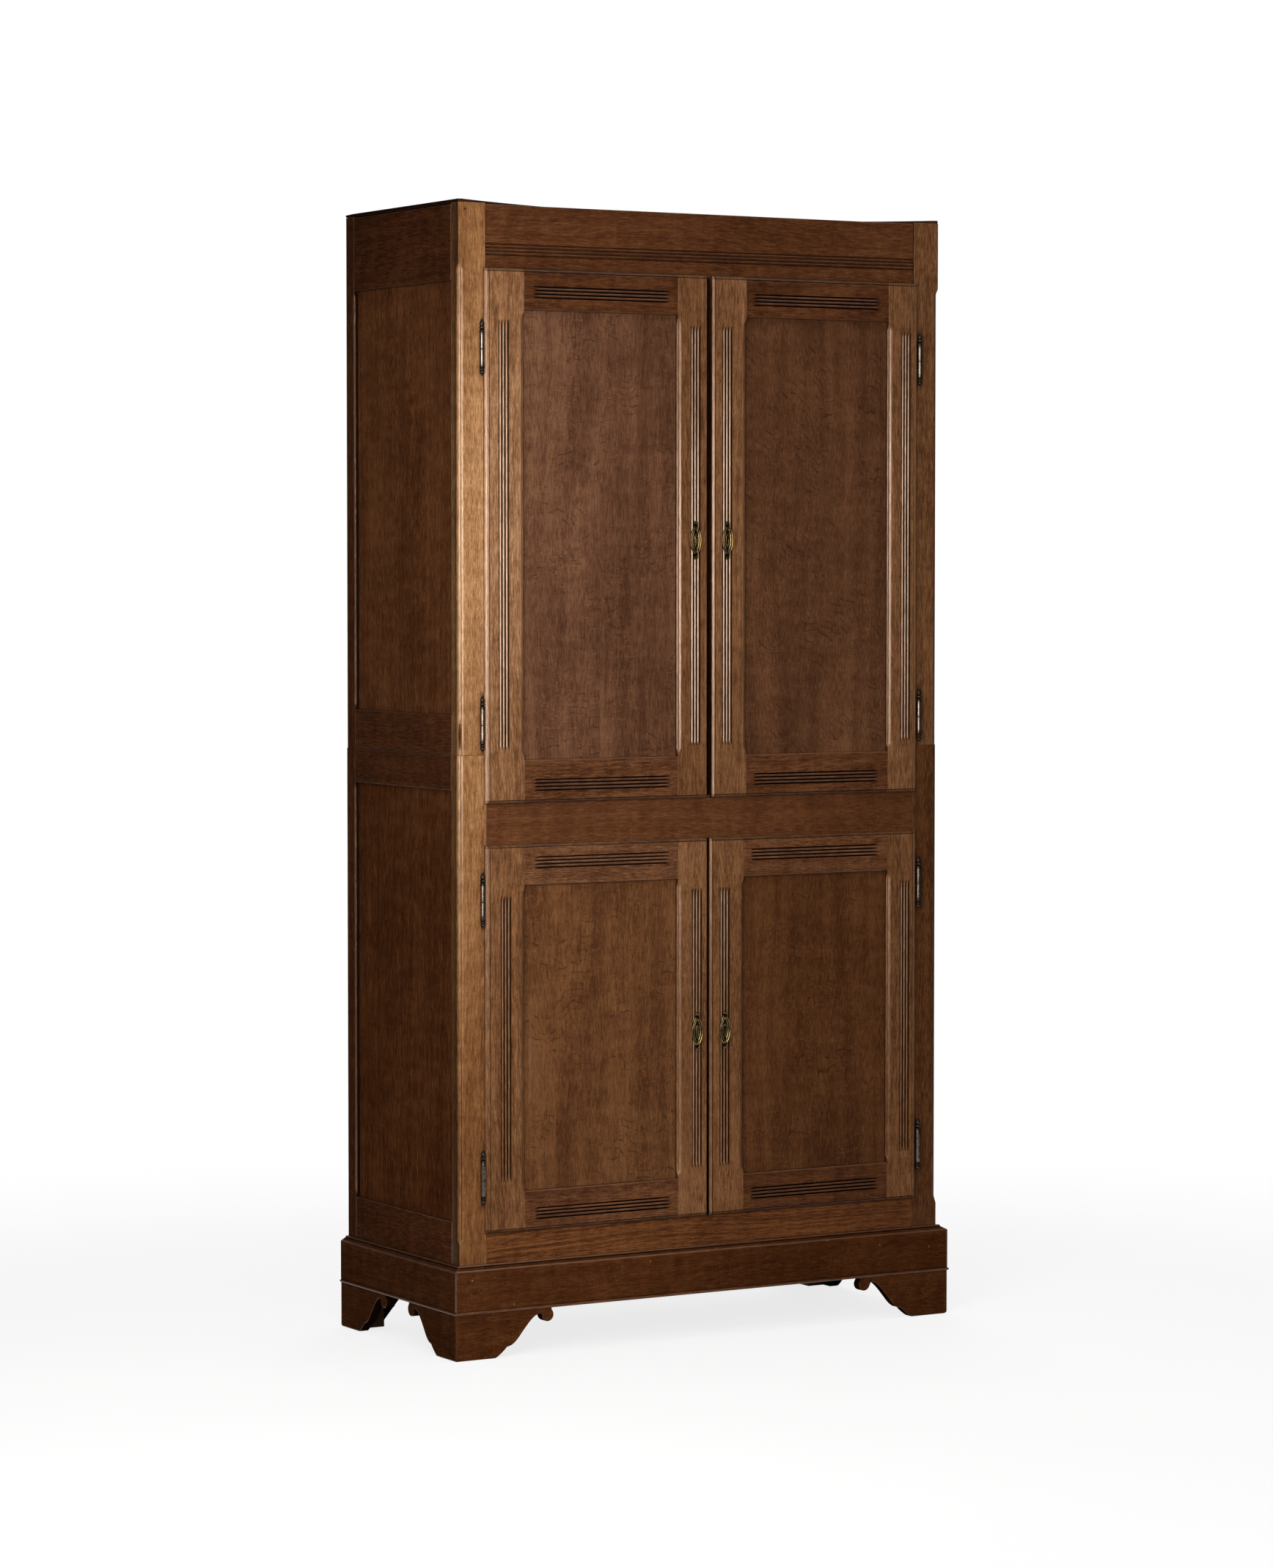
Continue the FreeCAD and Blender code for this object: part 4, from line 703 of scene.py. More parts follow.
def front_post(stage, side, seed, bead_run, coats, polish, finish, spots=()):
    """A front post with its stopped corner bead; it is darker beside the hinges."""
    bottom, top = STAGES[stage]["span"]
    outer = STAGES[stage]["half"]
    width = outer - OPENING
    hinges = np.array(STAGES[stage]["hinges"]) - bottom
    low, low_end, high_end, high = np.array(bead_run) - bottom
    reach, fade = 50, 6

    def cut(u, v):
        grown = np.minimum(ease((v - low) / (low_end - low)), ease((high - v) / (high - high_end)))
        beside = sum(np.exp(-(np.maximum(0, np.abs(v - hinge - 3) - reach) / fade) ** 2) for hinge in hinges)
        # Darker near the inner edge beside each hinge.
        return [CORNER.at(u, grown), (0 * u, 0.8 * beside * np.exp(-((width - u) / 9) ** 2), 0 * u)]
    rows = [np.linspace(low, low_end, 9), np.linspace(high_end, high, 9),
            *[hinge + np.linspace(-60, 66, 15) for hinge in hinges]]
    columns = [CORNER.place, CORNER.place * 0.5, width - np.array([1.5, 3, 5, 8, 12])]
    sign = -1 if side == "left" else 1
    shell = board(seed, (sign * outer, FRONT, bottom), (-sign * RIGHT, BACKWARD, UP),
                  (width, POST_BACK - FRONT, top - bottom), cut, columns, rows, 1.1, coats=coats,
                  polish=polish, step=(9, 14), spots=spots)
    name = f"{stage}_{side}_front_post"
    piece(name + "_board", [shell], finish, "case_oak", name)


# The upper left post's coats table makes it lightest about a third of the way up, where its polish also
# peaks: partly a painted highlight of the key light's soft reflection. The lower left post darkens towards
# the bottom.
front_post("upper", "left", 11, (SEAM - 40, SEAM - 20, 1884, 1899),
           {0: 1.15, 100: 1.1, 400: 1, 600: 1.08, 850: 1.4, 951: 1.5},
           {0: 0.3, 63: 0.35, 270: 0.47, 374: 0.6, 478: 0.46, 685: 0.46, 789: 0.26}, POST_OAK,
           [(13.6, 939, 1.5, 1.8, 1.6, 1), (3.4, 34, 2, 23, 9, 1)])
front_post("upper", "right", 12, (SEAM - 40, SEAM - 20, 1870, 1884), 1.25, 0.5, DOOR_OAK)
front_post("lower", "left", 13, (198, 211, SEAM + 20, SEAM + 40), {0: 1.62, 300: 1.56, 700: 1.34, 969: 1.2},
           {0: 0.05, 650: 0.08, 969: 0.55}, POST_OAK)
front_post("lower", "right", 14, (200, 219, SEAM + 20, SEAM + 40), 1.6, 0.3, DOOR_OAK)


def case_rail(name, seed, z, coats, keepers, finish=RAIL_OAK, set_back=0, cut=None, columns=(), **more):
    """A rail across the front, notched behind for the bolts.

    keepers are rows of (place along the rail, whether the notch is in its upper edge).
    """
    width, half, deep = z[1] - z[0], 4, 13

    def back_cut(u, v):
        behind = np.full_like(u, DOOR_THICK)
        for place, upper in keepers:
            notch = (np.abs(v - place) < half) & ((width - u if upper else u) < deep)
            behind = np.where(notch, BOLT_ROOM - FRONT - set_back, behind)
        return behind
    rows = [both_sides(place - half, place + half) for place, _ in keepers]
    shell = board(seed, (-OPENING, FRONT + set_back, z[0]), (UP, BACKWARD, RIGHT),
                  (width, DOOR_THICK, 2 * OPENING), cut, [*columns, both_sides(deep, width - deep)], rows,
                  0.8, back_cut, coats, **more)
    piece(name + "_board", [shell], finish, "case_oak", name)


def frieze_rail(z):
    """The frieze, reeded along its whole length; the reeds climb a little from left to right."""
    middle, width, rise = 1922.5 - z[0], z[1] - z[0], 3

    def climb(v):
        return rise * (v / (2 * OPENING) - 0.5)

    def tilt(u, v):
        return u + climb(v) * ease(u / 15) * ease((width - u) / 40)

    def cut(u, v):
        depth, grime, _ = REEDS.at(u - (middle + climb(v)))
        # The frieze's quirks take half the painted shade of the door reeds.
        return [(depth, 0.5 * grime, 0 * u)]
    case_rail("frieze_rail", 21, z, {60: 1.1, 444: 1.16, 830: 1.05}, [(UPPER_KEEPER, False)], set_back=3,
              cut=cut, columns=[middle + REEDS.place], step=(12, 16), warp=tilt,
              spots=[(104, 90, 1.2, 1.2, 1.5, 1), (100, 520, 1.2, 1.2, 1.5, 1)])


UPPER_KEEPER, LOWER_KEEPER = OPENING - 14.1, OPENING - 13.6
PLAIN = dict(step=(10, 18), hollow=0.3)
frieze_rail((1884.1, RAIL_TOP))
case_rail("middle_rail", 22, (887.8, 969.6), {0: 0.92, 400: 0.95, 887: 1.03},
          [(UPPER_KEEPER, True), (LOWER_KEEPER, False)], **PLAIN)
case_rail("bottom_rail", 23, (FOOT, 222.1), {0: 0.74, 440: 0.82, 887: 0.97}, [(LOWER_KEEPER, True)],
          LINED_OAK, **PLAIN)


# ---------------------------------------------------------------- case, sides, back and top

# The chamfer's wear pales it a little, partly a painted highlight down the rear post.
CHAMFER = Moulding([(0, 3, 0, 0), (0.2, 2.8, 0, 1), (2.8, 0.2, 0, 1), (3.4, 0, 0, 0)])
REAR_POST, BACK_BOARDS = 42.0, 5


def side_board(seed, side, outer, y, z, thick, upright=True, **more):
    """A board whose face looks outwards to the left or right."""
    (wide, way), (long, run) = [(y[1] - y[0], BACKWARD), (z[1] - z[0], UP)][::1 if upright else -1]
    return board(seed, (side * outer, y[0], z[0]), (way, -side * RIGHT, run), (wide, thick, long), **more)


def dress_stage(number, stage, half, span, low, high):
    """Rear posts, side rails, side panels and back boarding of one stage."""
    bottom, top = span
    upper, run, fade = stage == "upper", (low[1] - bottom, high[0] - bottom), 12

    def chamfered(u, v):
        return [CHAMFER.at(u, ease(np.minimum(v - run[0], run[1] - v) / fade))]
    posts, rails, panels = [], [], []
    for side in (-1, 1):
        seed = 200 + 40 * number + 15 * (side + 1)
        posts.append(side_board(seed + 1, side, half, (REAR_POST_FRONT, BACK), span, REAR_POST,
                                cut=chamfered, columns=[CHAMFER.place], rows=[tongue_steps(run, fade)],
                                radius=1, step=(8, 16)))
        for k, z in enumerate((low, high)):
            # The side rails are lightly soiled and polished twice over, so their edges show pale lines:
            # partly a painted highlight.
            rails.append(side_board(seed + 2 + k, side, half, (POST_BACK, REAR_POST_FRONT), z, 20, False,
                                    radius=1.4, coats=1.1 if k and upper else 0.92, step=(14, 18),
                                    soil=0.3, polish=2))
        panels.append(side_board(seed + 5, side, half - PANEL_DEPTH,
                                 (POST_BACK - TONGUE_IN, REAR_POST_FRONT + TONGUE_IN),
                                 (low[1] - TONGUE_IN, high[0] + TONGUE_IN), PANEL_THICK, radius=0.3,
                                 hollow=0.5, coats=0.88 if upper else 1.06, step=(14, 18)))
    width = 2 * (UPPER_HALF - REAR_POST) / BACK_BOARDS
    boards = [board(230 + 10 * number + k, (width * (k - BACK_BOARDS / 2) + 0.3, BACK, bottom),
                    (RIGHT, -BACKWARD, UP), (width - 0.6, 10, (RAIL_TOP if upper else top) - bottom),
                    radius=1, hollow=0.6, step=(16, 20)) for k in range(BACK_BOARDS)]
    for kind, shells, finish, slot, node in (
            ("rear_post_boards", posts, SIDE_OAK, "case_oak", "rear_posts"),
            ("side_rail_boards", rails, SIDE_OAK, "case_oak", "side_rails"),
            ("side_panel_boards", panels, SIDE_PANEL_OAK, "panel_oak", "side_panels"),
            ("back_boarding", boards, BACK_OAK, "inside_oak", "back_boards")):
        piece(f"{stage}_{kind}", shells, finish, slot, f"{stage}_{node}")


for number, (stage, sizes) in enumerate(STAGES.items()):
    dress_stage(number, stage, *[sizes[key] for key in ("half", "span", "low", "high")])


def top_board():
    """The thin top: its front edge runs flat on two horns and sweeps back along two arcs between them."""
    horn, lowest, deep, thick = 487.8, 150, 150, 5.5
    x = stations(spaced(-UPPER_HALF, UPPER_HALF, 10), [-horn, 0.1 - horn, horn - 0.1, horn],
                 UPPER_HALF - ROUND_STEPS, ROUND_STEPS - UPPER_HALF)
    run = np.where(x < lowest, horn + lowest, horn - lowest)
    radius = (run * run + deep ** 2) / (2 * deep)
    sweep = deep - radius + np.sqrt(np.maximum(0, radius ** 2 - (x - lowest) ** 2))
    sweep = np.where(np.abs(x) > horn, 0, np.clip(sweep, 0, deep))
    near = ROUND_STEPS / (2 * deep)
    u, t = np.meshgrid(x, stations(near, 1 - near, spaced(0, 1, 0.06)))
    y0 = FRONT + sweep + 0 * u
    y = y0 + (BACK - y0) * t
    edge = np.minimum.reduce([u + UPPER_HALF, UPPER_HALF - u, y - y0, BACK - y])
    depth, grime, worn = arris(np.maximum(edge, 0), 1)

    def sheet(z):
        return stacked(u, y, z), in_log(31, y, z, u), stacked(grime, worn, 1)
    shell = slab(sheet(TOP + thick - depth - 0.1 * wander(u, y, 31)), sheet(TOP + 0.6 * depth))
    piece("top_board_swept", [shell], SIDE_OAK, "case_oak", "top_board")


top_board()


# ---------------------------------------------------------------- plinth and feet

def plinth_section():
    """Outline of the plinth moulding as knots of distance out from the case, height, grime with painted shade
    under the bead and the cap, and wear.
    """
    bead = [(PLINTH_OUT + PLINTH_BEAD * math.cos(a), FOOT + 2.4 + 2.4 * math.sin(a), 0, 0.4 * math.cos(a))
            for a in np.linspace(-math.pi / 2, math.pi / 2, 9)]
    face = [(-0.3, 5.4, 0.9, 0), (-0.1, 6.2, 0.2, 0), (0, 9, 0, 0), (0, 40, 0, 0), (0, 65, 0, 0),
            (0, 73.6, 0, 0), (-0.1, 74.8, 0, 0.8), (-0.6, 75.8, 0, 1), (-1.5, 76.4, 0, 0.8),
            (-2.8, 77, 0.1, 0)]
    cap = [(8.6, 159.4, 0.3, 0), (6.4, 160.6, 0.95, 0), (5.8, 161, 0.95, 0), (5.5, 162.2, 0.2, 0.4),
           (4.9, 163.3, 0, 1), (4, 163.9, 0, 0.8), (2.6, 164, 0.1, 0), (1.4, 164, 0.6, 0), (0, 164, 0.7, 0)]
    return np.array([(0, FOOT, 0, 0), (PLINTH_OUT / 2, FOOT, 0, 0), *bead,
                     *(np.array(face) + (PLINTH_OUT, FOOT, 0, 0)), *cap]).T


def swept_plinth(seed, start, direction, outwards, length, mitres, coats=1):
    """The section carried along one side; an end that is mitred grows by its distance out."""
    out, height, grime, worn = plinth_section()
    t = stations(spaced(0, length, 16), [1, 3, 6, length - 6, length - 3, length - 1])
    s = t[:, None] + 0 * out
    place = s / length * (length + out * sum(mitres)) - out * mitres[0]
    points = placed(start, (place, direction), (out, outwards), (height, UP))
    index = np.arange(s.size).reshape(s.shape)
    faces = [grid_faces(index, around=True), index[0][None], index[-1][None, ::-1]]
    rise = np.cumsum(np.hypot(np.diff(out, prepend=out[0]), np.diff(height, prepend=height[0])))
    grain = in_log(seed, rise, out, place)
    near_mitre = np.maximum(mitres[0] * np.exp(-(s / 1.6) ** 2),
                            mitres[1] * np.exp(-((length - s) / 1.6) ** 2))
    finish = stacked(grime, np.maximum(worn, 0.5 * near_mitre), along_board(coats, s))
    return points.reshape(-1, 3), faces, grain.reshape(-1, 3), finish.reshape(-1, 3)


piece("plinth_front_moulding", [swept_plinth(51, (-HALF, FRONT, 0), RIGHT, -BACKWARD, 2 * HALF, (1, 1),
                                             {0: 0.94, 350: 0.98, 996: 1.15})],
      PLINTH_OAK, "plinth_oak", "plinth_front_board")
piece("plinth_side_mouldings", [swept_plinth(53 + side, (side * HALF, FRONT, 0), BACKWARD, side * RIGHT,
                                             BACK - FRONT, (1, 0)) for side in (-1, 1)],
      PLINTH_SIDE_OAK, "plinth_oak", "plinth_side_boards")


def bracket_lower_edge(length, heel):
    """The bracket's lower line from heel to scroll: a rounded heel, a step, an ogee, a notch and a disc."""
    rounded = heel * np.array([(0, 8), (0.14, 5), (1.5, 2), (4.5, 0.4), (9, 0)])
    ogee = np.array([(44, 0), (74, 0), (81, 1.4), (91, 8.5), (99, 15.5), (101, 17.6), (110, 20.3),
                     (117.6, 25.5), (124, 32), (131, 40.7), (139, 50.2), (148, 60), (156, 66.8),
                     (163, 70.4), (168, 71)]) * ((length - 24) / 170, 1)
    turn = np.radians(np.linspace(162, 407, 19))
    disc = np.column_stack([length - 11.4 + 11.4 * np.cos(turn), 67.5 + 11.4 * np.sin(turn)])
    return np.concatenate([rounded, ogee, disc, [(length - 4.2, 78)]])


def smooth_line(points, count):
    """count points along a Catmull-Rom curve through the given ones, evenly spaced by length."""
    ends = np.concatenate([points[:1] * 2 - points[1:2], points, points[-1:] * 2 - points[-2:-1]])
    t = np.linspace(0, 1, 8, endpoint=False)[:, None]
    a, b, c, d = ends[:-3, None], ends[1:-2, None], ends[2:-1, None], ends[3:, None]
    curve = 0.5 * (2 * b + (c - a) * t + (2 * a - 5 * b + 4 * c - d) * t ** 2
                   + (3 * b - a - 3 * c + d) * t ** 3)
    return evenly(np.concatenate([curve.reshape(-1, 2), points[-1:]]), count)


def bracket(seed, corner, along, into, length, mitre, heel):
    """Half a foot as a slab between its lower line and its straight top; mitred at the corner if asked."""
    low = np.maximum(smooth_line(bracket_lower_edge(length, heel), 150), 0)
    level = np.linspace(0, low[-1, 0], len(low))
    ahead = 0.5 * level + 0.5 * np.minimum.accumulate(low[::-1, 0])[::-1]
    t = np.array([0, 0.005, 0.015, 0.03, 0.06, 0.12, 0.25, 0.45, 0.7, 0.9, 1])[:, None, None]
    flat = low * (1 - t) + np.column_stack([ahead, FOOT + 0 * ahead]) * t
    u, v = flat[..., 0], flat[..., 1]
    away = np.linalg.norm(flat - low, axis=-1)
    depth, grime, worn = arris(np.minimum(away, np.maximum(length - u, 0) + 0.4), 1.3)
    heel_round, _, heel_worn = arris(np.maximum(u, 0), 1.6)
    depth = np.maximum(depth, heel_round) + 0.1 * wander(u, v, seed)
    fade = 40

    def sheet(d, dirt, rub):
        ahead = u + mitre * np.minimum(d, BRACKET_THICK) * (1 - np.clip(u / fade, 0, 1))
        return (placed(corner, (ahead, along), (d, into), (v, UP)), in_log(seed, v, d, ahead),
                stacked(dirt, rub, 1 + 0 * u))
    # The back of each bracket is darkened as painted shade.
    return slab(sheet(depth, grime, 0.4 * np.maximum(worn, heel_worn)),
                sheet(BRACKET_THICK - 0.5 * arris(away, 0.8)[0], 0.85, 0))


def brace(seed, side):
    """The plain sloping brace behind a rear foot."""
    inner = side * (HALF + PLINTH_OUT - BRACKET_THICK)
    share, height = np.meshgrid(stations(spaced(0, 1, 0.1)), stations([0, 0.01, 0.03], spaced(0, 1, 0.125)))
    v = height * FOOT
    slope, toe = 64, 55
    x = inner - side * share * np.where(v < slope, toe + toe * v / slope, 2 * toe)

    def sheet(y):
        # The brace is darkened all over as painted shade.
        return stacked(x, y, v), in_log(seed, v, y, x), stacked(0.9 + 0 * v, 0, 1)
    return slab(sheet(BACK - 0.05 * wander(abs(inner - x), v, seed)), sheet(BACK - BRACKET_THICK))


front_feet, side_feet, rear_feet = [], [], []
for side, heel in ((-1, 0.35), (1, 0.9)):
    outer, inwards = side * (HALF + PLINTH_OUT), -side * RIGHT
    corner = (outer, FRONT - PLINTH_OUT, 0)
    front_feet.append(bracket(61 + side, corner, inwards, BACKWARD, 194, True, heel))
    side_feet.append(bracket(65 + side, corner, BACKWARD, inwards, 180, True, heel))
    rear_feet.append(bracket(69 + side, (outer, BACK, 0), -BACKWARD, inwards, 180, False, 0.9))
    rear_feet.append(brace(73 + side, side))
piece("front_foot_brackets", front_feet, PLINTH_OAK, "plinth_oak", "front_bracket_feet")
piece("side_foot_brackets", side_feet, PLINTH_SIDE_OAK, "plinth_oak", "front_bracket_feet")
piece("rear_foot_brackets", rear_feet, PLINTH_SIDE_OAK, "plinth_oak", "rear_bracket_feet")


# ---------------------------------------------------------------- hinges

def lathe(x, y, profile):
    """A turned shell: profile rows of height, radius, grime and wear, swung round; ends close on a point."""
    turns = 28
    height, radius, grime, worn = profile.T[..., None]
    angle = np.linspace(0, TURN, turns, endpoint=False)
    ring = stacked(x + radius * np.cos(angle), y + radius * np.sin(angle), height).reshape(-1, 3)
    index = np.arange(len(ring)).reshape(-1, turns)
    faces = [grid_faces(index, around=True)]
    for pole, (row, turn) in enumerate(((0, 1), (-1, -1)), len(ring)):
        rim = index[row][::turn]
        faces.append(stacked(pole, np.roll(rim, -1), rim))
    points = np.concatenate([ring, [(x, y, profile[0, 0]), (x, y, profile[-1, 0])]])
    finish = np.concatenate([stacked(grime, worn, 1 + 0 * angle).reshape(-1, 3), 2 * [(0, 0.5, 1)]])
    return points, faces, points * MM, finish


BARREL = [(0, 0.4, 0.5, 0), (0, 4.1, 0.6, 0), (0.3, 4.35, 0.2, 0.3), (0.8, 4.4, 0, 0.7), (8, 4.38, 0, 0.9),
          (15, 4.4, 0, 1), (22, 4.38, 0, 0.9), (28.6, 4.4, 0.1, 0.5), (29.2, 4.2, 0.6, 0)]
BARREL_LENGTH, FINIAL_HEIGHT = 29.5, 23
FINIAL = [(0, 4.2, 0.2, 0.3), (0.3, 4.55, 0, 0.6), (2, 4.65, 0, 0.8), (2.6, 4.3, 0.4, 0.2),
          (3.2, 3.3, 0.9, 0), (4.9, 3.1, 0.9, 0), (5.6, 4, 0.3, 0.3), (6.6, 4.65, 0, 0.8), (8, 4.65, 0, 0.8),
          (9, 3.9, 0.3, 0.3), (9.8, 3.2, 0.9, 0), (11, 3.4, 0.5, 0.2), (12.4, 4, 0, 0.6),
          (14.2, 4.25, 0, 0.8), (16, 3.8, 0, 0.6), (17.6, 2.9, 0.3, 0.2), (19.4, 2, 0.4, 0.2),
          (21.2, 1.5, 0, 0.5), (22.4, 0.9, 0, 0.7), (22.9, 0.3, 0, 0.8)]


def knuckle(x, z, way, finial):
    """Half a hinge from its joint outwards: a barrel a little hollow at its rims, then its finial."""
    tip = [(BARREL_LENGTH + finial * height / FINIAL_HEIGHT, radius, max(grime, 0.3), 0.4 * worn)
           for height, radius, grime, worn in FINIAL]
    return lathe(x, HINGE_Y, np.array(BARREL + tip) * (way, 1, 1, 1) + (z, 0, 0, 0))


def leaf(seed, *ranges):
    """A thin hinge leaf over ranges of x, y and z, its edges eased."""
    low, high = np.transpose(ranges)
    return board(seed, low, (RIGHT, BACKWARD, UP), high - low, radius=0.25, hollow=0)


case_halves = []
gap, leaf_reach, leaf_tall, half_leaf = 0.3, 16, 28.5, 0.8
for name in DOORS:
    side = -1 if "_left_" in name else 1
    x = side * HINGE_X
    door_halves = []
    for z in STAGES[name[:5]]["hinges"]:
        door_halves.append(knuckle(x, z + gap, 1, FINIAL_HEIGHT))
        reach = sorted((side * (LIP_SIDE - leaf_reach), side * (HINGE_X - 0.5)))
        door_halves.append(leaf(81, reach, (FRONT - 1.9, FRONT - gap), (z + 2, z + leaf_tall)))
        case_halves.append(knuckle(x, z, -1, 16))
        case_halves.append(leaf(82, (x - half_leaf, x + half_leaf), (HINGE_Y + 3.8, FRONT + leaf_reach),
                             (z - leaf_tall, z - 1)))
    piece(name + "_hinges", door_halves, TURNED_STEEL, "hinge_steel", name + "_hinge_halves", body=name)
piece("case_hinges", case_halves, TURNED_STEEL, "hinge_steel", "case_hinge_halves")


# ---------------------------------------------------------------- lock plates

def plate_outline():
    """A pointed oval of two arcs, with a round tab at each end."""
    angle = np.linspace(0, TURN, 720, endpoint=False)
    tall, wide, tab_out, tab_radius = 30.5, 11, 30.2, 4
    flank = (tall * tall + wide * wide) / (2 * wide)
    s, c = np.abs(np.sin(angle)), np.cos(angle)
    shift = flank - wide
    oval = -shift * s + np.sqrt(np.maximum(0, flank ** 2 - (shift * c) ** 2))
    inside = tab_radius ** 2 - (tab_out * s) ** 2
    tab = np.where(inside > 0, tab_out * np.abs(c) + np.sqrt(np.maximum(inside, 0)), 0)
    radius = np.maximum(oval, tab)
    return np.column_stack([radius * np.sin(angle), radius * c])


def keyhole_outline():
    """A round eye over a slot, starting from the top."""
    turn = np.linspace(-0.80 * math.pi, 0.80 * math.pi, 60)
    eye = np.column_stack([2.5 * np.sin(turn), 4.6 + 2.5 * np.cos(turn)])
    slot = [(1.35, 2), (1.35, -7), (0.9, -7.5), (-0.9, -7.5), (-1.35, -7), (-1.35, 2)]
    return np.concatenate([eye[30:], slot, eye[:30]])


PLATE_SHARE, *PLATE_ROWS = np.array([
    [0, 0.03, 0.10, 0.16, 0.22, 0.30, 0.40, 0.47, 0.52, 0.57, 0.62, 0.68, 0.74, 0.79, 0.84, 0.88, 0.92, 0.96,
     0.985, 1],
    [1, 1.5, 1.75, 1.5, 1.05, 0.8, 0.9, 1.4, 2, 2.1, 1.7, 1.1, 0.9, 1.2, 1.9, 2.4, 2.55, 2.3, 1.8, 1.2],
    [0.9, 0.2, 0, 0.2, 0.7, 0.8, 0.6, 0.2, 0, 0, 0.3, 0.9, 1, 0.7, 0.1, 0, 0, 0, 0.2, 0.4],
    [0, 0.4, 0.8, 0.3, 0, 0, 0.1, 0.4, 0.9, 0.9, 0.3, 0, 0, 0, 0.5, 0.9, 1, 0.9, 0.4, 0]])


def lock_plate(body, x, z):
    """A brass plate between the keyhole and its outline; ridges, grime and wear follow the share across."""
    count, tab_from, tab_fade, pin_out, pin_size = 120, 20, 5, 30.3, 1.5
    inner, outer = (evenly(line, count, closed=True) for line in (keyhole_outline(), plate_outline()))
    share = PLATE_SHARE[:, None, None]
    flat = inner * (1 - share) + outer * share
    u, v = flat[..., 0], flat[..., 1]
    crest, dirt, rub = (row[:, None] + 0 * u for row in PLATE_ROWS)
    ends = ease((np.abs(v) - tab_from) / tab_fade)
    ripple = 0.5 + 0.5 * np.cos(u * 1.5) * np.cos((np.abs(v) - 22) * 0.9)
    crest = crest * (1 - 0.5 * ends) + (0.7 + 0.9 * ripple) * 0.5 * ends
    pin = np.exp(-((u / pin_size) ** 2 + ((np.abs(v) - pin_out) / pin_size) ** 2) ** 2)
    crest = crest * (1 - pin) + 2.1 * pin
    front = stacked(x + u, DOOR_FACE - crest, z + v)
    back = stacked(x + u, DOOR_FACE + 0.3, z + v)
    index = np.arange(u.size).reshape(u.shape)
    points = np.concatenate([front.reshape(-1, 3), back.reshape(-1, 3)])
    faces = [grid_faces(index, True), grid_faces(index + u.size, True)[:, ::-1],
             ribbon(index[0], index[0] + u.size)[:, ::-1], ribbon(index[-1], index[-1] + u.size)]
    finish = stacked(dirt * (1 - 0.6 * pin), np.maximum(rub * (1 - 0.5 * ends), pin), 1)
    finish = np.tile(finish.reshape(-1, 3), (2, 1))
    piece(body + "_key_plate", [(points, faces, points * MM, finish)], AGED_BRASS, "plate_brass",
          body + "_lock_plate", body=body, sharp=60)


for name, d in DOORS.items():
    middle = d["x"][1] - d["reeds"][1] if "_left_" in name else d["x"][0] + d["reeds"][0]
    lock_plate(name, middle, STAGES[name[:5]]["lock"])


# ---------------------------------------------------------------- solids that stay as they are

def lock_iron():
    """Blackened iron with brown rust bloom."""
    f = Finish("lock_iron")
    where = f.object_place()
    cloud = f.noise(where, 160, 160, 4, 0.65)
    speck = f.noise(where, 1200, 1200, 2)
    colour = f.ramp(cloud, (0.35, (34, 30, 28)), (0.55, (62, 56, 52)), (0.7, (92, 60, 40)))
    return f.surface(colour, f.plus(f.times(cloud, 0.4), 0.25), speck, 0.4, 0.0002, {"Metallic": 0.85})


PALE_OAK = (78, 52, 32), (116, 84, 56), (150, 116, 82)
KEPT = [(oak("shelf_oak", *PALE_OAK, lie="YZX", **INSIDE),
         ("upper_sill_rail", "stop_rail", "upper_floor", "lower_top", "lower_floor", "upper_shelves",
          "lower_shelf")),
        (oak("cleat_oak", *PALE_OAK, lie="XZY", **INSIDE), ("shelf_cleats",)),
        (oak("block_oak", (36, 23, 14), (54, 36, 23), (74, 51, 34), lie="XYZ", roughness=0.6),
         ("foot_glue_blocks", "locating_dowels")),
        (oak("ceiling_oak", (52, 29, 15), (78, 46, 26), (102, 66, 40), lie="YZX", roughness=0.5),
         ("upper_ceiling",)),
        (lock_iron(), ("_lock_case", "_lock_bolt", "_top_bolt", "_bottom_bolt"))]
for name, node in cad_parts.items():
    for finish, endings in KEPT:
        if name.endswith(endings):
            node.data.materials.clear()
            node.data.materials.append(finish)


# ---------------------------------------------------------------- floor, light and camera

CAMERA_YAW, CAMERA_PITCH = math.radians(30.4518), math.radians(2.7210)
AHEAD = (math.sin(CAMERA_YAW), math.cos(CAMERA_YAW), 0)


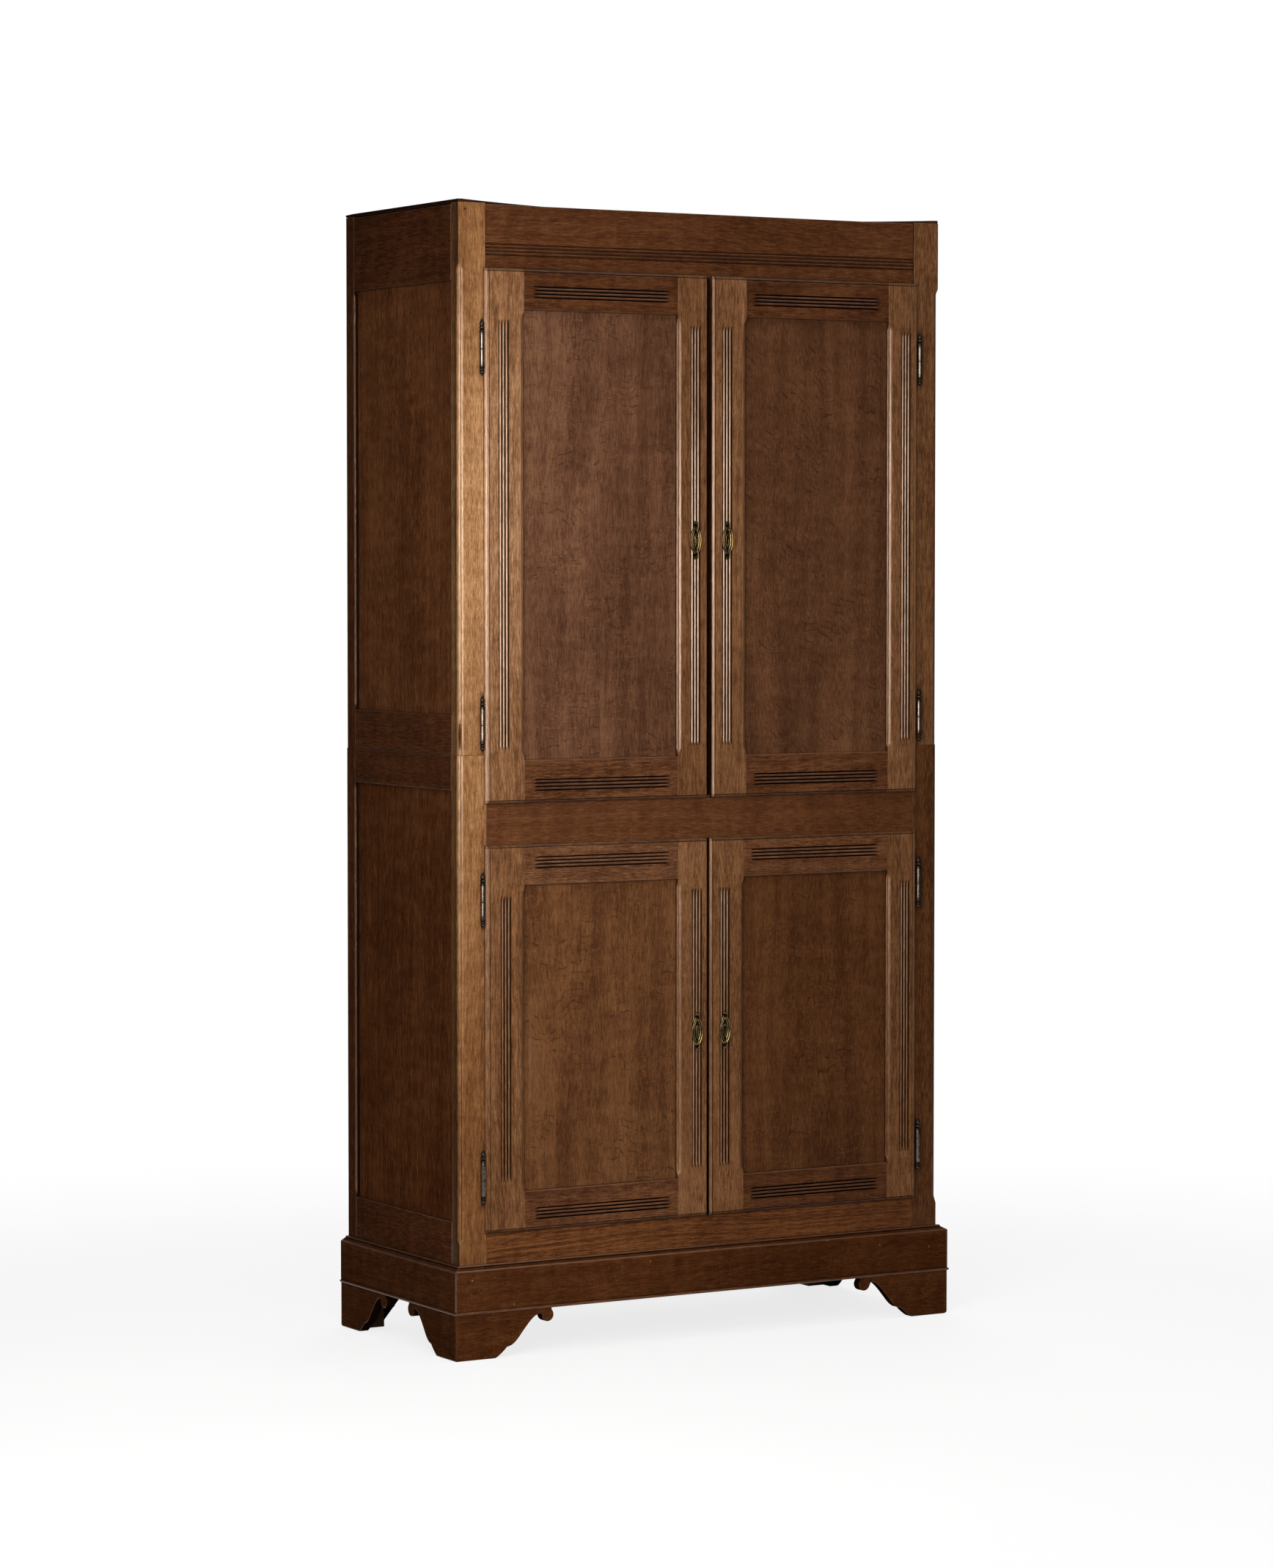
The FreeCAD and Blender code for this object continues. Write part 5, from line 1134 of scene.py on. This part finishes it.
def studio_floor():
    """A pale disc that takes the shadow and fades out with distance; it throws back dim, warm light."""
    lift, fade_from, fade_to = 0.8, 1.1, 2.6
    angle = np.linspace(0, TURN, 96, endpoint=False)
    radius = np.array([0.6, 1.2, 2, 3, 4.2, 6])[:, None]
    ring = stacked(radius * np.cos(angle), radius * np.sin(angle), 0)
    index = np.arange(radius.size * angle.size).reshape(radius.size, -1)
    faces = grid_faces(index, True)[:, ::-1].tolist() + [index[0].tolist()]
    mesh = bpy.data.meshes.new("studio_floor")
    mesh.from_pydata(ring.reshape(-1, 3).tolist(), [], faces)
    f = Finish("studio_floor")
    where = f.object_place()
    cloud = f.spread(f.noise(where, 2, 2, 3), 0.3, 0.7)
    path = f.add("LightPath").outputs
    looked_at = path["Is Camera Ray"]
    for kind in ("Is Glossy Ray", "Is Transmission Ray"):
        looked_at = f.math("MAXIMUM", looked_at, path[kind])
    shade = f.blend(cloud, (0.90, 0.90, 0.90, 1), (0.92, 0.92, 0.92, 1))
    f.feed(f.shader, {"Base Color": f.blend(looked_at, (0.50, 0.42, 0.34, 1), shade), "Roughness": 0.9,
                      "Specular IOR Level": 0})
    away = f.add("VectorMath", {0: where}, operation="LENGTH").outputs["Value"]
    white = f.add("Emission", {"Strength": 1}).outputs[0]
    clear = f.add("BsdfTransparent").outputs[0]
    lifted = f.add("MixShader", {0: f.times(looked_at, lift), 1: f.shader.outputs[0], 2: white})
    mixed = f.add("MixShader", {0: f.spread(away, fade_from, fade_to), 1: lifted.outputs[0], 2: clear})
    f.feed(f.output, {0: mixed.outputs[0]})
    mesh.materials.append(f.material)
    floor = bpy.data.objects.new("studio_floor", mesh)
    bpy.context.scene.collection.objects.link(floor)


def studio_world():
    """White to the eye all round; gloss sees it fall off to a dim room, diffuse light gets a low level."""
    world = bpy.data.worlds.new("studio")
    bpy.context.scene.world = world
    tree = Tree(world)
    path = tree.add("LightPath").outputs

    def background(colour=(1, 1, 1, 1), strength=1):
        return tree.add("Background", {"Color": colour, "Strength": strength}).outputs[0]

    def switch(ray, otherwise, chosen):
        return tree.add("MixShader", {0: path[ray], 1: otherwise, 2: chosen}).outputs[0]
    where = tree.add("TexCoord").outputs["Generated"]
    facing = tree.add("VectorMath", {0: where, 1: AHEAD}, operation="DOT_PRODUCT").outputs["Value"]
    mirrored, white = background(tree.spread(facing, 0.80, 0.97, 0.05, 1)), background()
    mixed = switch("Is Glossy Ray", background((0.96, 0.98, 1, 1), 0.12), mirrored)
    mixed = switch("Is Camera Ray", switch("Is Transmission Ray", mixed, white), white)
    tree.add("OutputWorld", {"Surface": mixed})


def softbox(name, place, target, size, power, colour=(1, 1, 1)):
    """A rectangular area light turned to face its target."""
    lamp = bpy.data.lights.new(name, "AREA")
    lamp.shape = "RECTANGLE"
    lamp.size, lamp.size_y = size
    lamp.energy, lamp.color = power, colour
    thing = bpy.data.objects.new(name, lamp)
    bpy.context.scene.collection.objects.link(thing)
    thing.location, thing.visible_camera = place, False
    ahead = np.subtract(target, place)
    thing.rotation_euler = (math.acos(-ahead[2] / np.linalg.norm(ahead)), 0,
                            math.atan2(ahead[1], ahead[0]) - math.pi / 2)


studio_floor()
studio_world()
softbox("key_softbox", (-1.6, -1.72, 1.5), (-0.1, -0.2, 1.15), (1.2, 1.8), 46, (1, 0.97, 0.94))
softbox("front_softbox", (-0.3, -4.2, 1.6), (0, -0.2, 1), (2, 2), 14)
softbox("overhead_softbox", (0.2, -0.6, 3.9), (0, -0.2, 0), (3, 3), 60)
softbox("rear_softbox", (1.9, 3.1, 1.9), (0, 0.2, 0.8), (2.2, 2.2), 70)

lens = bpy.data.cameras.new("camera")
lens.sensor_fit, lens.sensor_height, lens.lens = "VERTICAL", 36, 103.967
camera = bpy.data.objects.new("camera", lens)
camera.location = (-4.18565, -7.08181, 1.37121)
camera.rotation_euler = (math.pi / 2 - CAMERA_PITCH, 0, -CAMERA_YAW)
bpy.context.scene.collection.objects.link(camera)
bpy.context.scene.camera = camera
bpy.context.scene.view_settings.view_transform = "Standard"
